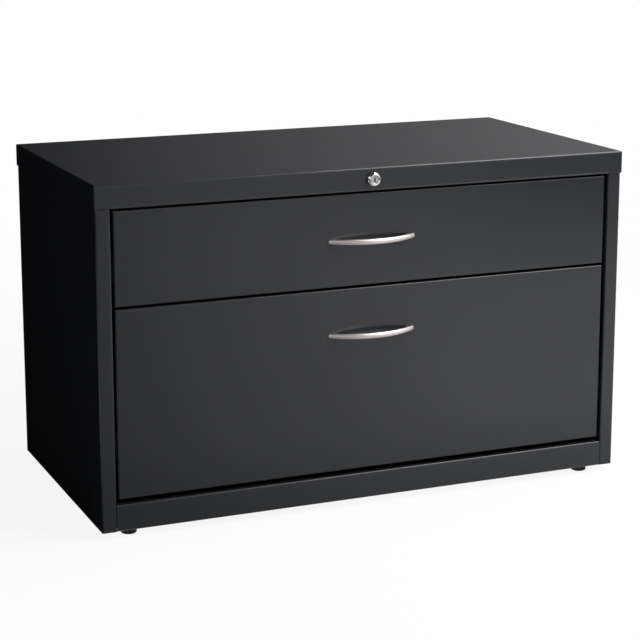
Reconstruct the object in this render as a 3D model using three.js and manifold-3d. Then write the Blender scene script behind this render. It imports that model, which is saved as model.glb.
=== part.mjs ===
// Lateral filing cabinet in folded sheet steel: a box drawer over a file drawer, in millimetres.
// X runs to the right, Y to the back and Z up. The origin is on the floor, under the middle of
// the whole object with its handles. The drawers are shut and the lock is open.
import * as THREE from 'three';
import { mergeVertices } from 'three/addons/utils/BufferGeometryUtils.js';
import Module from 'manifold-3d';

const wasm = await Module();
wasm.setup();

// Overall sizes
const CABINET_WIDTH = 914.4;
const CABINET_DEPTH = 473;
const CASE_HEIGHT = 545.6;
const GLIDE_HEIGHT = 12;

// Sheet metal
const CASE_SHEET = 1;
const RAIL_SHEET = 1.2;
const DRAWER_SHEET = 0.9;
const BEND_RADIUS = 2;
const BEND_STEPS = 4;
const SEAM_GAP = 0.3;
const CUT_OVERRUN = 1;

// Front of the case
const TOP_FLANGE_HEIGHT = 36.5;
const TOP_HEM_DEPTH = 12;
const STILE_WIDTH = 23.4;
const STILE_LIP = 12;
const BASE_RAIL_HEIGHT = 42.6;
const BASE_RAIL_RETURN = 12;
const BASE_RAIL_LEFT_GAP = 0.3;
const BASE_RAIL_RIGHT_GAP = 0.9;

// Back and bottom of the case
const REAR_RETURN = 15;
const BOTTOM_RETURN = 15;
const BACK_EDGE_INSET = 1.5;
const BASE_PAN_FLANGE = 20;
const COUNTERWEIGHT_SIDE_GAP = 105;
const COUNTERWEIGHT_DEPTH = 90;
const COUNTERWEIGHT_HEIGHT = 12;
const COUNTERWEIGHT_REAR_GAP = 25;

// Uprights that carry the slides
const UPRIGHT_WIDTH = 30;
const UPRIGHT_BEHIND_LOCK_BAR = 4.2;
const UPRIGHT_SIDE_GAP = 2;

// Drawer faces
const UPPER_FACE_HEIGHT = 149;
const FACE_GAP = 4;
const FACE_BOTTOM_GAP = 8;
const FACE_SIDE_GAP = 5;
const FACE_RECESS = 3;
const FACE_DEPTH = 19;
const FACE_RETURN = 12;

// Drawer trays
const TRAY_FLOOR_RISE = 6;
const UPPER_TRAY_HEADROOM = 44;
const LOWER_TRAY_HEADROOM = 52;
const TRAY_REAR_GAP = 40;
const TRAY_RIM_WIDTH = 8;
const TRAY_RIM_DROP = 7;
const TRAY_FOOT = 7;
const HANG_RAIL_INSET = 11;
const HANG_RAIL_THICKNESS = 2;
const HANG_RAIL_HEIGHT = 16;
const HANG_RAIL_STAND = 3;
const HANG_RAIL_HOOK = 7;

// Telescopic slides
const SLIDE_HEIGHT = 45;
const SLIDE_THICKNESS = 12.7;
const SLIDE_SHEET = 1.2;
const SLIDE_LIP_INSET = 1.7;
const SLIDE_BEHIND_STILE = 0.5;
const SLIDE_FRONT_INSET = 5;
const UPPER_SLIDE_BELOW_CATCH = 2;
const LOWER_SLIDE_BELOW_CATCH = 122.5;
const BALL_DIAMETER = 3.2;
const BALL_PLAY = 0.25;
const BALLS_IN_ROW = 4;
const BALL_DETAIL = 1;
const CAGE_SHEET = 0.5;
const CAGE_PLAY = 0.25;
const CAGE_BEND_RADIUS = 0.8;
const CAGE_LENGTH_SHARE = 0.47;
const CAGE_END_MARGIN = 8;
const CAGE_LIP = 8;

// Bowed handles
const HANDLE_SPAN = 146;
const HANDLE_REACH = 28.5;
const HANDLE_HEIGHT = 9;
const HANDLE_THICKNESS = 7;
const HANDLE_DROP = 74.5;
const HANDLE_SCREW_CENTRES = 128;
const HANDLE_BOSS_RADIUS = 4.2;
const HANDLE_STEPS = 28;
const HANDLE_SIDES = 8;
const HANDLE_END_OVERRUN = 0.12;
const SCREW_RADIUS = 2;
const SCREW_DEPTH = 6;
const SCREW_HEAD_RADIUS = 4;
const SCREW_HEAD_HEIGHT = 2.6;

// Lock and its linkage
const LOCK_DROP = 18.5;
const LOCK_PROUD = 7.5;
const LOCK_BEZEL_RADIUS = 11.8;
const LOCK_BEZEL_EDGE = 3;
const LOCK_BARREL_RADIUS = 8;
const LOCK_BARREL_LENGTH = 22.5;
const LOCK_NUT_FLATS = 22;
const LOCK_NUT_THICKNESS = 4;
const PLUG_RADIUS = 5.4;
const PLUG_RECESS = 0.5;
const PLUG_STUB_RADIUS = 3;
const KEYWAY_WIDTH = 2;
const KEYWAY_HEIGHT = 6.5;
const KEYWAY_DEPTH = 12;
const CAM_THICKNESS = 2;
const CAM_ARM_RADIUS = 5.5;
const CAM_PIN_DISTANCE = 6;
const CAM_PIN_RADIUS = 2;
const CAM_REST_ANGLE = Math.PI / 4;
const CAM_SCREW_RADIUS = 1.3;
const CAM_SCREW_LENGTH = 8;
const CAM_SCREW_HEAD_RADIUS = 3.6;
const CAM_SCREW_HEAD_HEIGHT = 0.9;
const LINK_PLAY = 0.4;
const LINK_THICKNESS = 2;
const LINK_SPACING = 1.5;
const SLIDE_BAR_HEIGHT = 18;
const SLIDE_BAR_MARGIN = 2.5;
const SLIDE_BAR_LEFT_END = 20;
const SLIDE_BAR_GUIDE_INSETS = [60, 310];
const GUIDE_WIDTH = 14;
const GUIDE_LIP = 5;
const LOCK_BAR_WIDTH = 9;
const LOCK_BAR_BEHIND_STILE = 1.5;
const LOCK_LIFT = 8;
const LOCK_BAR_GUIDE_RISE = 15;
const CATCH_HEIGHT = 8;
const CATCH_CLEARANCE = 1.5;
const CATCH_REACH = 11;
const CATCH_PLAY = 0.8;
const KEEPER_DROP = 14;
const KEEPER_HEIGHT = 10;
const KEEPER_LENGTH = 24;
const KEEPER_SHEET = 2;
const KEEPER_BEND_RADIUS = 3;
const KEEPER_STAND = 6;

// Levelling glides
const GLIDE_INSET_X = 51.2;
const GLIDE_INSET_Y = 27;
const GLIDE_RADIUS = 12.7;
const GLIDE_DISC_HEIGHT = 8;
const GLIDE_EDGE = 1.6;
const GLIDE_COLLAR_RADIUS = 7.5;
const GLIDE_STEM_RADIUS = 5;
const GLIDE_STEM_LENGTH = 20;
const WELD_NUT_FLATS = 17;
const WELD_NUT_HEIGHT = 8;

// Facets of round pieces
const LOCK_SIDES = 28;
const GLIDE_SIDES = 24;
const SCREW_SIDES = 12;
const HEX_SIDES = 6;
const ROUND_END_SHARE = 0.98;

// Places that follow from the sizes, seen from the front
const lidProud = CASE_SHEET + SEAM_GAP;
const lidHalf = CABINET_WIDTH / 2;
const sideX = lidHalf - lidProud;
const openingHalf = sideX - STILE_WIDTH;
const faceHalf = openingHalf - FACE_SIDE_GAP;
const slideBackX = openingHalf + SLIDE_BEHIND_STILE;
const trayHalf = slideBackX - SLIDE_THICKNESS - SEAM_GAP;

// Places from front to back
const handleProud = HANDLE_REACH - lidProud - FACE_RECESS;
const frontY = (handleProud - CABINET_DEPTH) / 2;
const backY = frontY + CABINET_DEPTH;
const stileY = frontY + lidProud;
const faceY = stileY + FACE_RECESS;
const faceBackY = faceY + FACE_DEPTH;
const trayFrontY = faceBackY + SEAM_GAP;
const backOuterY = backY - lidProud;
const backInnerY = backOuterY - CASE_SHEET;
const trayBackY = backInnerY - TRAY_REAR_GAP;
const slideFrontY = trayFrontY + SLIDE_FRONT_INSET;
const slideLength = trayBackY - slideFrontY;
const slideMiddleY = slideFrontY + slideLength / 2;
const basePanFrontY = stileY + BASE_RAIL_RETURN + SEAM_GAP;
const basePanBackY = backInnerY - CASE_SHEET - 2 * SEAM_GAP;

// Places from the floor up
const caseBottom = GLIDE_HEIGHT;
const caseTop = caseBottom + CASE_HEIGHT;
const lidUnderside = caseTop - BEND_RADIUS - SEAM_GAP;
const openingTop = caseTop - TOP_FLANGE_HEIGHT;
const openingBottom = caseBottom + BASE_RAIL_HEIGHT;
const basePanBottom = caseBottom + CASE_SHEET + SEAM_GAP;
const basePanTop = basePanBottom + RAIL_SHEET;
const lockZ = caseTop - LOCK_DROP;

// The two drawers, from the top down
const upperDrawer = {
  name: 'upper',
  bottom: openingTop - FACE_GAP - UPPER_FACE_HEIGHT,
  top: openingTop - FACE_GAP,
  headroom: UPPER_TRAY_HEADROOM,
  slideBelowCatch: UPPER_SLIDE_BELOW_CATCH,
};
const lowerDrawer = {
  name: 'lower',
  bottom: openingBottom + FACE_BOTTOM_GAP,
  top: upperDrawer.bottom - FACE_GAP,
  headroom: LOWER_TRAY_HEADROOM,
  slideBelowCatch: LOWER_SLIDE_BELOW_CATCH,
};
for (const drawer of [upperDrawer, lowerDrawer]) {
  drawer.trayBottom = drawer.bottom + TRAY_FLOOR_RISE;
  drawer.trayTop = drawer.top - drawer.headroom;
  drawer.keeperZ = drawer.trayTop - KEEPER_DROP;
  drawer.catchBottom = drawer.keeperZ - CATCH_CLEARANCE - CATCH_HEIGHT;
  drawer.slideZ = drawer.catchBottom - drawer.slideBelowCatch - SLIDE_HEIGHT / 2;
}

// Linkage places: the slide bar lies behind the cam, the lock bar behind the slide bar, and the
// uprights behind the lock bar
const camY = frontY + LOCK_BARREL_LENGTH + SEAM_GAP;
const slideBarY = camY + CAM_THICKNESS + LINK_SPACING;
const lockBarY = slideBarY + LINK_THICKNESS + LINK_SPACING;
const uprightFrontY = lockBarY + LINK_THICKNESS + UPRIGHT_BEHIND_LOCK_BAR;
const lockRailY = frontY + CASE_SHEET + SEAM_GAP;
const lockRailBottom = openingTop + CASE_SHEET + SEAM_GAP;
const slideBarBottom = lockRailBottom + RAIL_SHEET + SEAM_GAP;
const slideBarTop = slideBarBottom + SLIDE_BAR_HEIGHT;
const slideBarTravel = 2 * CAM_PIN_DISTANCE * Math.sin(CAM_REST_ANGLE);
const linkSlotRadius = CAM_PIN_RADIUS + LINK_PLAY;
const lockBarLeft = openingHalf + LOCK_BAR_BEHIND_STILE;
const lockBarX = lockBarLeft + LOCK_BAR_WIDTH / 2;
const lockPinZ = slideBarBottom + SLIDE_BAR_MARGIN + linkSlotRadius;

// Finishes as they look on the object
const CHARCOAL_PAINT = { color: 0x3d3e41, roughness: 0.42, metalness: 0.1 };
const ZINC_STEEL = { color: 0xa9adb0, roughness: 0.38, metalness: 0.9 };
const SATIN_NICKEL = { color: 0xc9c4be, roughness: 0.3, metalness: 1 };
const CHROME = { color: 0xd8dadd, roughness: 0.12, metalness: 1 };
const BLACK_PLASTIC = { color: 0x17181a, roughness: 0.5, metalness: 0 };
const BLACK_STEEL = { color: 0x2a2b2c, roughness: 0.6, metalness: 0.6 };

// Solids and meshes

function withoutSlivers(index) {
  const kept = [];
  for (let i = 0; i < index.length; i += 3) {
    const [a, b, c] = [index[i], index[i + 1], index[i + 2]];
    if (a !== b && b !== c && c !== a) {
      kept.push(a, b, c);
    }
  }
  return new Uint32Array(kept);
}

function solidFrom(geometry) {
  const bare = geometry.clone();
  bare.deleteAttribute('normal');
  bare.deleteAttribute('uv');
  const merged = mergeVertices(bare);
  const mesh = new wasm.Mesh({
    numProp: 3,
    vertProperties: new Float32Array(merged.attributes.position.array),
    triVerts: withoutSlivers(merged.index.array),
  });
  return new wasm.Manifold(mesh);
}

function meshFrom(name, solid, finish) {
  const { vertProperties, triVerts } = solid.getMesh();
  const geometry = new THREE.BufferGeometry();
  geometry.setAttribute('position', new THREE.BufferAttribute(vertProperties, 3));
  geometry.setIndex(new THREE.BufferAttribute(triVerts, 1));
  geometry.computeVertexNormals();
  const mesh = new THREE.Mesh(geometry, new THREE.MeshStandardMaterial(finish));
  mesh.name = name;
  return mesh;
}

function joined(first, ...others) {
  return others.reduce((whole, other) => whole.add(other), first);
}

// Ranges, with the lower end first
const span = (a, b) => [Math.min(a, b), Math.max(a, b)];
const around = (middle, half) => [middle - half, middle + half];

function block(x, y, z) {
  const geometry = new THREE.BoxGeometry(x[1] - x[0], y[1] - y[0], z[1] - z[0]);
  geometry.translate((x[0] + x[1]) / 2, (y[0] + y[1]) / 2, (z[0] + z[1]) / 2);
  return solidFrom(geometry);
}

// An outline's two axes follow the axis of its prism in turn: x takes (y, z), y takes (z, x)
// and z takes (x, y).
const AXIS = {
  x: new THREE.Vector3(1, 0, 0),
  y: new THREE.Vector3(0, 1, 0),
  z: new THREE.Vector3(0, 0, 1),
};
const PRISM_FRAME = {
  x: new THREE.Matrix4().makeBasis(AXIS.y, AXIS.z, AXIS.x),
  y: new THREE.Matrix4().makeBasis(AXIS.z, AXIS.x, AXIS.y),
  z: new THREE.Matrix4().makeBasis(AXIS.x, AXIS.y, AXIS.z),
};

function prism(axis, outline, [low, high]) {
  const geometry = new THREE.ExtrudeGeometry(outline, {
    depth: high - low,
    bevelEnabled: false,
  });
  geometry.translate(0, 0, low);
  geometry.applyMatrix4(PRISM_FRAME[axis]);
  return solidFrom(geometry);
}

// A round rod along Y at the given x and z
function rodAlongY(radius, [low, high], x, z, sides) {
  const geometry = new THREE.CylinderGeometry(radius, radius, high - low, sides);
  geometry.translate(x, (low + high) / 2, z);
  return solidFrom(geometry);
}

// A turned piece about the Y axis, from points of radius and height that close on themselves
function turned(points, sides) {
  const profile = [...points, points[0]].map(([radius, height]) => new THREE.Vector2(radius, height));
  return solidFrom(new THREE.LatheGeometry(profile, sides));
}

// The outline of a hexagon, measured across its flats
function hexagon(flats) {
  const shape = new THREE.Shape();
  const radius = flats / 2 / Math.cos(Math.PI / HEX_SIDES);
  const corner = (i) => (i * 2 * Math.PI) / HEX_SIDES;
  shape.moveTo(radius, 0);
  for (let i = 1; i < HEX_SIDES; i += 1) {
    shape.lineTo(radius * Math.cos(corner(i)), radius * Math.sin(corner(i)));
  }
  return shape;
}

// Outlines with round corners

// The points of one corner, which an arc of BEND_STEPS steps rounds by its radius
function cornerPoints(before, [u, v, radius], after) {
  const corner = new THREE.Vector2(u, v);
  if (radius === 0) {
    return [corner];
  }
  const back = new THREE.Vector2(before[0] - u, before[1] - v).normalize();
  const ahead = new THREE.Vector2(after[0] - u, after[1] - v).normalize();
  const half = Math.acos(back.dot(ahead)) / 2;
  const inwards = back.clone().add(ahead).normalize();
  const centre = inwards.clone().multiplyScalar(radius / Math.sin(half)).add(corner);
  const sweep = (Math.PI - 2 * half) * Math.sign(ahead.cross(back));
  const spoke = inwards.multiplyScalar(-radius);
  const points = [];
  for (let i = 0; i <= BEND_STEPS; i += 1) {
    const turn = sweep * (i / BEND_STEPS - 1 / 2);
    points.push(spoke.clone().rotateAround(new THREE.Vector2(), turn).add(centre));
  }
  return points;
}

// A closed outline through corners given as [u, v, radius]
function roundedOutline(corners) {
  const count = corners.length;
  const points = corners.flatMap((corner, i) => cornerPoints(
    corners[(i + count - 1) % count], corner, corners[(i + 1) % count]));
  return new THREE.Shape(points);
}

// A straight bar or slot with round ends, between the centres of its ends
function roundEnded(from, to, radius) {
  const along = new THREE.Vector2(to[0] - from[0], to[1] - from[1]).normalize().multiplyScalar(radius);
  const across = new THREE.Vector2(-along.y, along.x);
  const place = (end, a, b) => [
    end[0] + a * along.x + b * across.x,
    end[1] + a * along.y + b * across.y,
    radius * ROUND_END_SHARE,
  ];
  return roundedOutline([place(from, -1, -1), place(to, 1, -1), place(to, 1, 1), place(from, -1, 1)]);
}

function leftNormals(path) {
  return path.slice(1).map((point, i) => {
    const step = new THREE.Vector2(point[0] - path[i][0], point[1] - path[i][1]).normalize();
    return new THREE.Vector2(-step.y, step.x);
  });
}

// The path moved to its left by a distance, with its corners kept square
function offsetPath(path, distance) {
  const normals = leftNormals(path);
  return path.map(([u, v], i) => {
    const first = normals[Math.max(i - 1, 0)];
    const second = normals[Math.min(i, normals.length - 1)];
    const shift = first.clone().add(second).multiplyScalar(distance / (1 + first.dot(second)));
    return [u + shift.x, v + shift.y];
  });
}

// The outer radius on the outside of a fold, and the radius less the sheet on its inside
function foldRadius(path, i, thickness, radius) {
  if (i === 0 || i === path.length - 1) {
    return 0;
  }
  const normals = leftNormals(path);
  const turn = normals[i - 1].cross(normals[i]);
  return turn * thickness > 0 ? radius : radius - Math.abs(thickness);
}

// A folded sheet whose one face follows the path. It lies to the left of the path for a
// positive thickness, and to the right for a negative one.
function foldedSheet(path, thickness, radius = BEND_RADIUS) {
  const otherFace = offsetPath(path, thickness);
  const near = path.map((point, i) => [...point, foldRadius(path, i, thickness, radius)]);
  const far = otherFace.map((point, i) => [...point, foldRadius(otherFace, i, -thickness, radius)]);
  return roundedOutline([...near, ...far.reverse()]);
}

// Two prisms that cross at right angles, each running past the other's outline
const longer = ([low, high]) => [low - CUT_OVERRUN, high + CUT_OVERRUN];

function crossed(firstAxis, firstOutline, firstSpan, secondAxis, secondOutline, secondSpan) {
  const first = prism(firstAxis, roundedOutline(firstOutline), longer(firstSpan));
  return first.intersect(prism(secondAxis, roundedOutline(secondOutline), longer(secondSpan)));
}

// A block whose edges round its top are rounded
function topRounded(x, y, z, radius) {
  const below = z[0] - CUT_OVERRUN;
  const fromSide = [[y[0], z[0], 0], [y[1], z[0], 0], [y[1], z[1], radius], [y[0], z[1], radius]];
  const fromFront = [[below, x[0], 0], [z[1], x[0], radius], [z[1], x[1], radius], [below, x[1], 0]];
  return crossed('x', fromSide, x, 'y', fromFront, y);
}

// A block whose edges round its front are rounded
function frontRounded(x, y, z, radius) {
  const behind = y[1] + CUT_OVERRUN;
  const fromSide = [[y[0], z[0], radius], [y[1], z[0], 0], [y[1], z[1], 0], [y[0], z[1], radius]];
  const fromTop = [[x[0], y[0], radius], [x[1], y[0], radius], [x[1], behind, 0], [x[0], behind, 0]];
  return crossed('x', fromSide, x, 'z', fromTop, z);
}

// A block whose edges round its bottom are rounded
function bottomRounded(x, y, z, radius) {
  const above = z[1] + CUT_OVERRUN;
  const fromSide = [[y[0], z[0], radius], [y[1], z[0], radius], [y[1], z[1], 0], [y[0], z[1], 0]];
  const fromFront = [[z[0], x[0], radius], [above, x[0], 0], [above, x[1], 0], [z[0], x[1], radius]];
  return crossed('x', fromSide, x, 'y', fromFront, y);
}

// Case

function lockHole(y) {
  return rodAlongY(LOCK_BARREL_RADIUS + SEAM_GAP, y, 0, lockZ, LOCK_SIDES);
}

function topPanel() {
  const outer = topRounded(
    around(0, lidHalf), [frontY, backY], [openingTop, caseTop], BEND_RADIUS);
  const inner = topRounded(
    around(0, lidHalf - CASE_SHEET),
    [frontY + CASE_SHEET, backY - CASE_SHEET],
    [openingTop - CUT_OVERRUN, caseTop - CASE_SHEET],
    BEND_RADIUS - CASE_SHEET);
  const hem = prism(
    'x',
    foldedSheet([
      [frontY + TOP_HEM_DEPTH, openingTop],
      [frontY, openingTop],
      [frontY, openingTop + TOP_HEM_DEPTH],
    ], -CASE_SHEET),
    around(0, openingHalf - SEAM_GAP));
  const hole = lockHole([frontY - CUT_OVERRUN, frontY + CASE_SHEET + CUT_OVERRUN]);
  return outer.subtract(inner).add(hem).subtract(hole);
}

function sidePanel(side) {
  const rearY = backInnerY - SEAM_GAP;
  const wrap = prism(
    'z',
    foldedSheet([
      [side * (sideX - REAR_RETURN), rearY],
      [side * sideX, rearY],
      [side * sideX, stileY],
      [side * openingHalf, stileY],
      [side * openingHalf, stileY + STILE_LIP],
    ], -side * CASE_SHEET),
    [caseBottom, lidUnderside]);
  const bottomReturn = block(
    span(side * (sideX - BOTTOM_RETURN), side * (sideX - CASE_SHEET / 2)),
    [stileY + STILE_LIP, rearY - REAR_RETURN],
    [caseBottom, caseBottom + CASE_SHEET]);
  return wrap.add(bottomReturn);
}

function backPanel() {
  const sheet = block(
    around(0, sideX - BACK_EDGE_INSET), [backInnerY, backOuterY], [caseBottom, lidUnderside]);
  const bottomReturn = block(
    around(0, sideX - REAR_RETURN - CASE_SHEET),
    [backOuterY - BOTTOM_RETURN, backOuterY],
    [caseBottom, caseBottom + CASE_SHEET]);
  return sheet.add(bottomReturn);
}

function baseRail() {
  const outline = foldedSheet([
    [stileY + BASE_RAIL_RETURN, caseBottom],
    [stileY, caseBottom],
    [stileY, openingBottom],
    [stileY + BASE_RAIL_RETURN, openingBottom],
  ], -CASE_SHEET);
  return prism('x', outline, [BASE_RAIL_LEFT_GAP - openingHalf, openingHalf - BASE_RAIL_RIGHT_GAP]);
}

function glidePlaces() {
  const x = lidHalf - GLIDE_INSET_X;
  return [
    { name: 'left_front_glide', x: -x, y: frontY + GLIDE_INSET_Y },
    { name: 'right_front_glide', x, y: frontY + GLIDE_INSET_Y },
    { name: 'left_rear_glide', x: -x, y: backY - GLIDE_INSET_Y },
    { name: 'right_rear_glide', x, y: backY - GLIDE_INSET_Y },
  ];
}

function weldNut({ x, y }) {
  const nut = new THREE.ExtrudeGeometry(hexagon(WELD_NUT_FLATS), {
    depth: WELD_NUT_HEIGHT + RAIL_SHEET / 2,
    bevelEnabled: false,
  });
  nut.translate(x, y, basePanTop - RAIL_SHEET / 2);
  return solidFrom(nut);
}

function glideHole({ x, y }) {
  const height = WELD_NUT_HEIGHT + RAIL_SHEET + 2 * CUT_OVERRUN;
  const radius = GLIDE_STEM_RADIUS + SEAM_GAP;
  const hole = new THREE.CylinderGeometry(radius, radius, height, GLIDE_SIDES);
  hole.rotateX(Math.PI / 2);
  hole.translate(x, y, basePanBottom - CUT_OVERRUN + height / 2);
  return solidFrom(hole);
}

function basePan() {
  const half = sideX - CASE_SHEET - SEAM_GAP;
  const frontHalf = openingHalf - SEAM_GAP;
  const plateFrontY = stileY + STILE_LIP + SEAM_GAP;
  const floor = [basePanBottom, basePanTop];
  const flangeTop = basePanTop + BASE_PAN_FLANGE;
  const railUnderside = openingBottom - CASE_SHEET - SEAM_GAP;
  const plate = block(around(0, half), [plateFrontY, basePanBackY], floor);
  const frontFlange = block(
    around(0, frontHalf),
    [basePanFrontY, basePanFrontY + RAIL_SHEET],
    [basePanBottom, railUnderside]);
  const rearFlange = block(
    around(0, sideX - REAR_RETURN - CASE_SHEET),
    [basePanBackY - RAIL_SHEET, basePanBackY],
    [basePanBottom, flangeTop]);
  const sideFlange = (side) => block(
    span(side * half, side * (half - RAIL_SHEET)),
    [plateFrontY, basePanBackY],
    [basePanBottom, flangeTop]);
  const places = glidePlaces();
  const pan = joined(plate, frontFlange, rearFlange, sideFlange(-1), sideFlange(1));
  const withNuts = joined(pan, ...places.map(weldNut));
  return places.reduce((whole, place) => whole.subtract(glideHole(place)), withNuts);
}

function counterweight() {
  const rearY = backInnerY - COUNTERWEIGHT_REAR_GAP;
  const bottom = basePanTop + SEAM_GAP;
  return topRounded(
    around(0, sideX - COUNTERWEIGHT_SIDE_GAP),
    [rearY - COUNTERWEIGHT_DEPTH, rearY],
    [bottom, bottom + COUNTERWEIGHT_HEIGHT],
    BEND_RADIUS);
}

function upright(side, y) {
  const webX = slideBackX + SEAM_GAP;
  const edgeX = sideX - CASE_SHEET - UPRIGHT_SIDE_GAP;
  const outline = foldedSheet([
    [side * edgeX, y],
    [side * webX, y],
    [side * webX, y + UPRIGHT_WIDTH],
    [side * edgeX, y + UPRIGHT_WIDTH],
  ], -side * RAIL_SHEET);
  return prism('z', outline, [basePanTop + SEAM_GAP, lidUnderside]);
}

// A loop on the front of the right upright, in which the lock bar slides
function lockBarGuide(z) {
  const slotX = around(lockBarX, LOCK_BAR_WIDTH / 2 + LINK_PLAY);
  const loopX = [slotX[0] - RAIL_SHEET, slotX[1] + RAIL_SHEET];
  const slotY = [lockBarY - LINK_PLAY, lockBarY + LINK_THICKNESS + LINK_PLAY];
  const loopY = [slotY[0] - RAIL_SHEET, uprightFrontY + RAIL_SHEET / 2];
  const height = around(z, GUIDE_WIDTH / 2);
  return block(loopX, loopY, height).subtract(block(slotX, slotY, around(z, GUIDE_WIDTH)));
}

function rightFrontUpright() {
  const guideZ = [upperDrawer, lowerDrawer].map((drawer) => drawer.trayTop + LOCK_BAR_GUIDE_RISE);
  return joined(upright(1, uprightFrontY), ...guideZ.map(lockBarGuide));
}

// A hook over the slide bar, which keeps it on the lock rail's lower flange
function slideBarGuide(inset) {
  const width = around(openingHalf - inset, GUIDE_WIDTH / 2);
  const armZ = [slideBarTop + LINK_PLAY, slideBarTop + LINK_PLAY + RAIL_SHEET];
  const lipY = slideBarY + LINK_THICKNESS + LINK_PLAY;
  const arm = block(width, [lockRailY + RAIL_SHEET / 2, lipY + RAIL_SHEET], armZ);
  const lip = block(width, [lipY, lipY + RAIL_SHEET], [slideBarTop - GUIDE_LIP, armZ[1]]);
  return arm.add(lip);
}

function lockRail() {
  const flangeY = lockBarY;
  const outline = foldedSheet([
    [flangeY, lockRailBottom],
    [lockRailY, lockRailBottom],
    [lockRailY, lidUnderside],
    [flangeY, lidUnderside],
  ], -RAIL_SHEET);
  const folded = prism('x', outline, around(0, openingHalf - SEAM_GAP));
  const hole = lockHole([lockRailY - CUT_OVERRUN, lockRailY + RAIL_SHEET + CUT_OVERRUN]);
  return joined(folded, ...SLIDE_BAR_GUIDE_INSETS.map(slideBarGuide)).subtract(hole);
}

// Telescopic slides, with X from the case inwards and the origin at the middle of the back

const raceStep = SLIDE_SHEET + BALL_DIAMETER + 2 * BALL_PLAY;
const cageStep = CAGE_SHEET + 2 * CAGE_PLAY;
const outerHalf = SLIDE_HEIGHT / 2;
const middleHalf = outerHalf - raceStep;
const innerHalf = middleHalf - raceStep;
const middleBackX = SLIDE_SHEET + cageStep;
const innerLipX = middleBackX + SLIDE_SHEET + cageStep;
const outerLipX = SLIDE_THICKNESS - SLIDE_LIP_INSET;
const cageLength = slideLength * CAGE_LENGTH_SHARE;

// A channel along Y, from its web to its lips, which may point either way along X
function channel(half, webX, lipX, sheet, radius, length) {
  const inwards = Math.sign(lipX - webX);
  const path = [[-half, lipX], [-half, webX], [half, webX], [half, lipX]];
  return prism('y', foldedSheet(path, inwards * sheet, radius), around(0, length / 2));
}

function outerMember() {
  return channel(outerHalf, 0, outerLipX, SLIDE_SHEET, BEND_RADIUS, slideLength);
}

function middleMember() {
  return channel(middleHalf, middleBackX, outerLipX, SLIDE_SHEET, BEND_RADIUS, slideLength);
}

function innerMember() {
  return channel(innerHalf, SLIDE_THICKNESS, innerLipX, SLIDE_SHEET, BEND_RADIUS, slideLength);
}

// A cage between two members, with its rows of balls. Half and webX are those of the member
// that it runs in.
function ballCage(half, webX) {
  const rowZ = half - SLIDE_SHEET - BALL_PLAY - BALL_DIAMETER / 2;
  const backX = webX + SLIDE_SHEET + CAGE_PLAY;
  const ballX = backX + CAGE_LIP - BALL_DIAMETER;
  const strip = channel(
    rowZ + CAGE_SHEET / 2, backX, backX + CAGE_LIP, CAGE_SHEET, CAGE_BEND_RADIUS, cageLength);
  const firstBall = CAGE_END_MARGIN - cageLength / 2;
  const pitch = (-2 * firstBall) / (BALLS_IN_ROW - 1);
  const balls = [];
  for (let i = 0; i < BALLS_IN_ROW; i += 1) {
    for (const z of [-rowZ, rowZ]) {
      const ball = new THREE.OctahedronGeometry(BALL_DIAMETER / 2, BALL_DETAIL);
      ball.translate(ballX, firstBall + i * pitch, z);
      balls.push(solidFrom(ball));
    }
  }
  return joined(strip, ...balls);
}

const SLIDE_PIECES = [
  ['outer_slide', outerMember()],
  ['outer_cage', ballCage(outerHalf, 0)],
  ['middle_slide', middleMember()],
  ['inner_cage', ballCage(middleHalf, middleBackX)],
  ['inner_slide', innerMember()],
];

// The left slide faces right as it is modelled, and the right one is turned round
function telescopicSlide(drawer, sideName, side) {
  const slide = new THREE.Group();
  slide.position.set(side * slideBackX, slideMiddleY, drawer.slideZ);
  slide.rotation.z = side > 0 ? Math.PI : 0;
  for (const [piece, solid] of SLIDE_PIECES) {
    slide.add(meshFrom(`${drawer.name}_${sideName}_${piece}`, solid, ZINC_STEEL));
  }
  return slide;
}

// Drawers

function drawerFace(drawer) {
  const outer = frontRounded(
    around(0, faceHalf), [faceY, faceBackY], [drawer.bottom, drawer.top], BEND_RADIUS);
  const inner = frontRounded(
    around(0, faceHalf - DRAWER_SHEET),
    [faceY + DRAWER_SHEET, faceBackY - DRAWER_SHEET],
    [drawer.bottom + DRAWER_SHEET, drawer.top - DRAWER_SHEET],
    BEND_RADIUS - DRAWER_SHEET);
  const rearOpening = block(
    around(0, faceHalf - FACE_RETURN),
    [faceBackY - DRAWER_SHEET - CUT_OVERRUN, faceBackY + CUT_OVERRUN],
    [drawer.bottom + FACE_RETURN, drawer.top - FACE_RETURN]);
  const screwHole = (x) => rodAlongY(
    SCREW_RADIUS + SEAM_GAP,
    [faceY - CUT_OVERRUN, faceY + DRAWER_SHEET + CUT_OVERRUN],
    x, drawer.top - HANDLE_DROP, SCREW_SIDES);
  const holes = joined(screwHole(-HANDLE_SCREW_CENTRES / 2), screwHole(HANDLE_SCREW_CENTRES / 2));
  return outer.subtract(inner).subtract(rearOpening).subtract(holes);
}

// A ring between a tray's outline moved in by one distance and moved in by another
function trayRing(outset, inset, z) {
  const outer = block(around(0, trayHalf - outset), [trayFrontY + outset, trayBackY - outset], z);
  const inner = block(around(0, trayHalf - inset), [trayFrontY + inset, trayBackY - inset], longer(z));
  return outer.subtract(inner);
}

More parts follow.
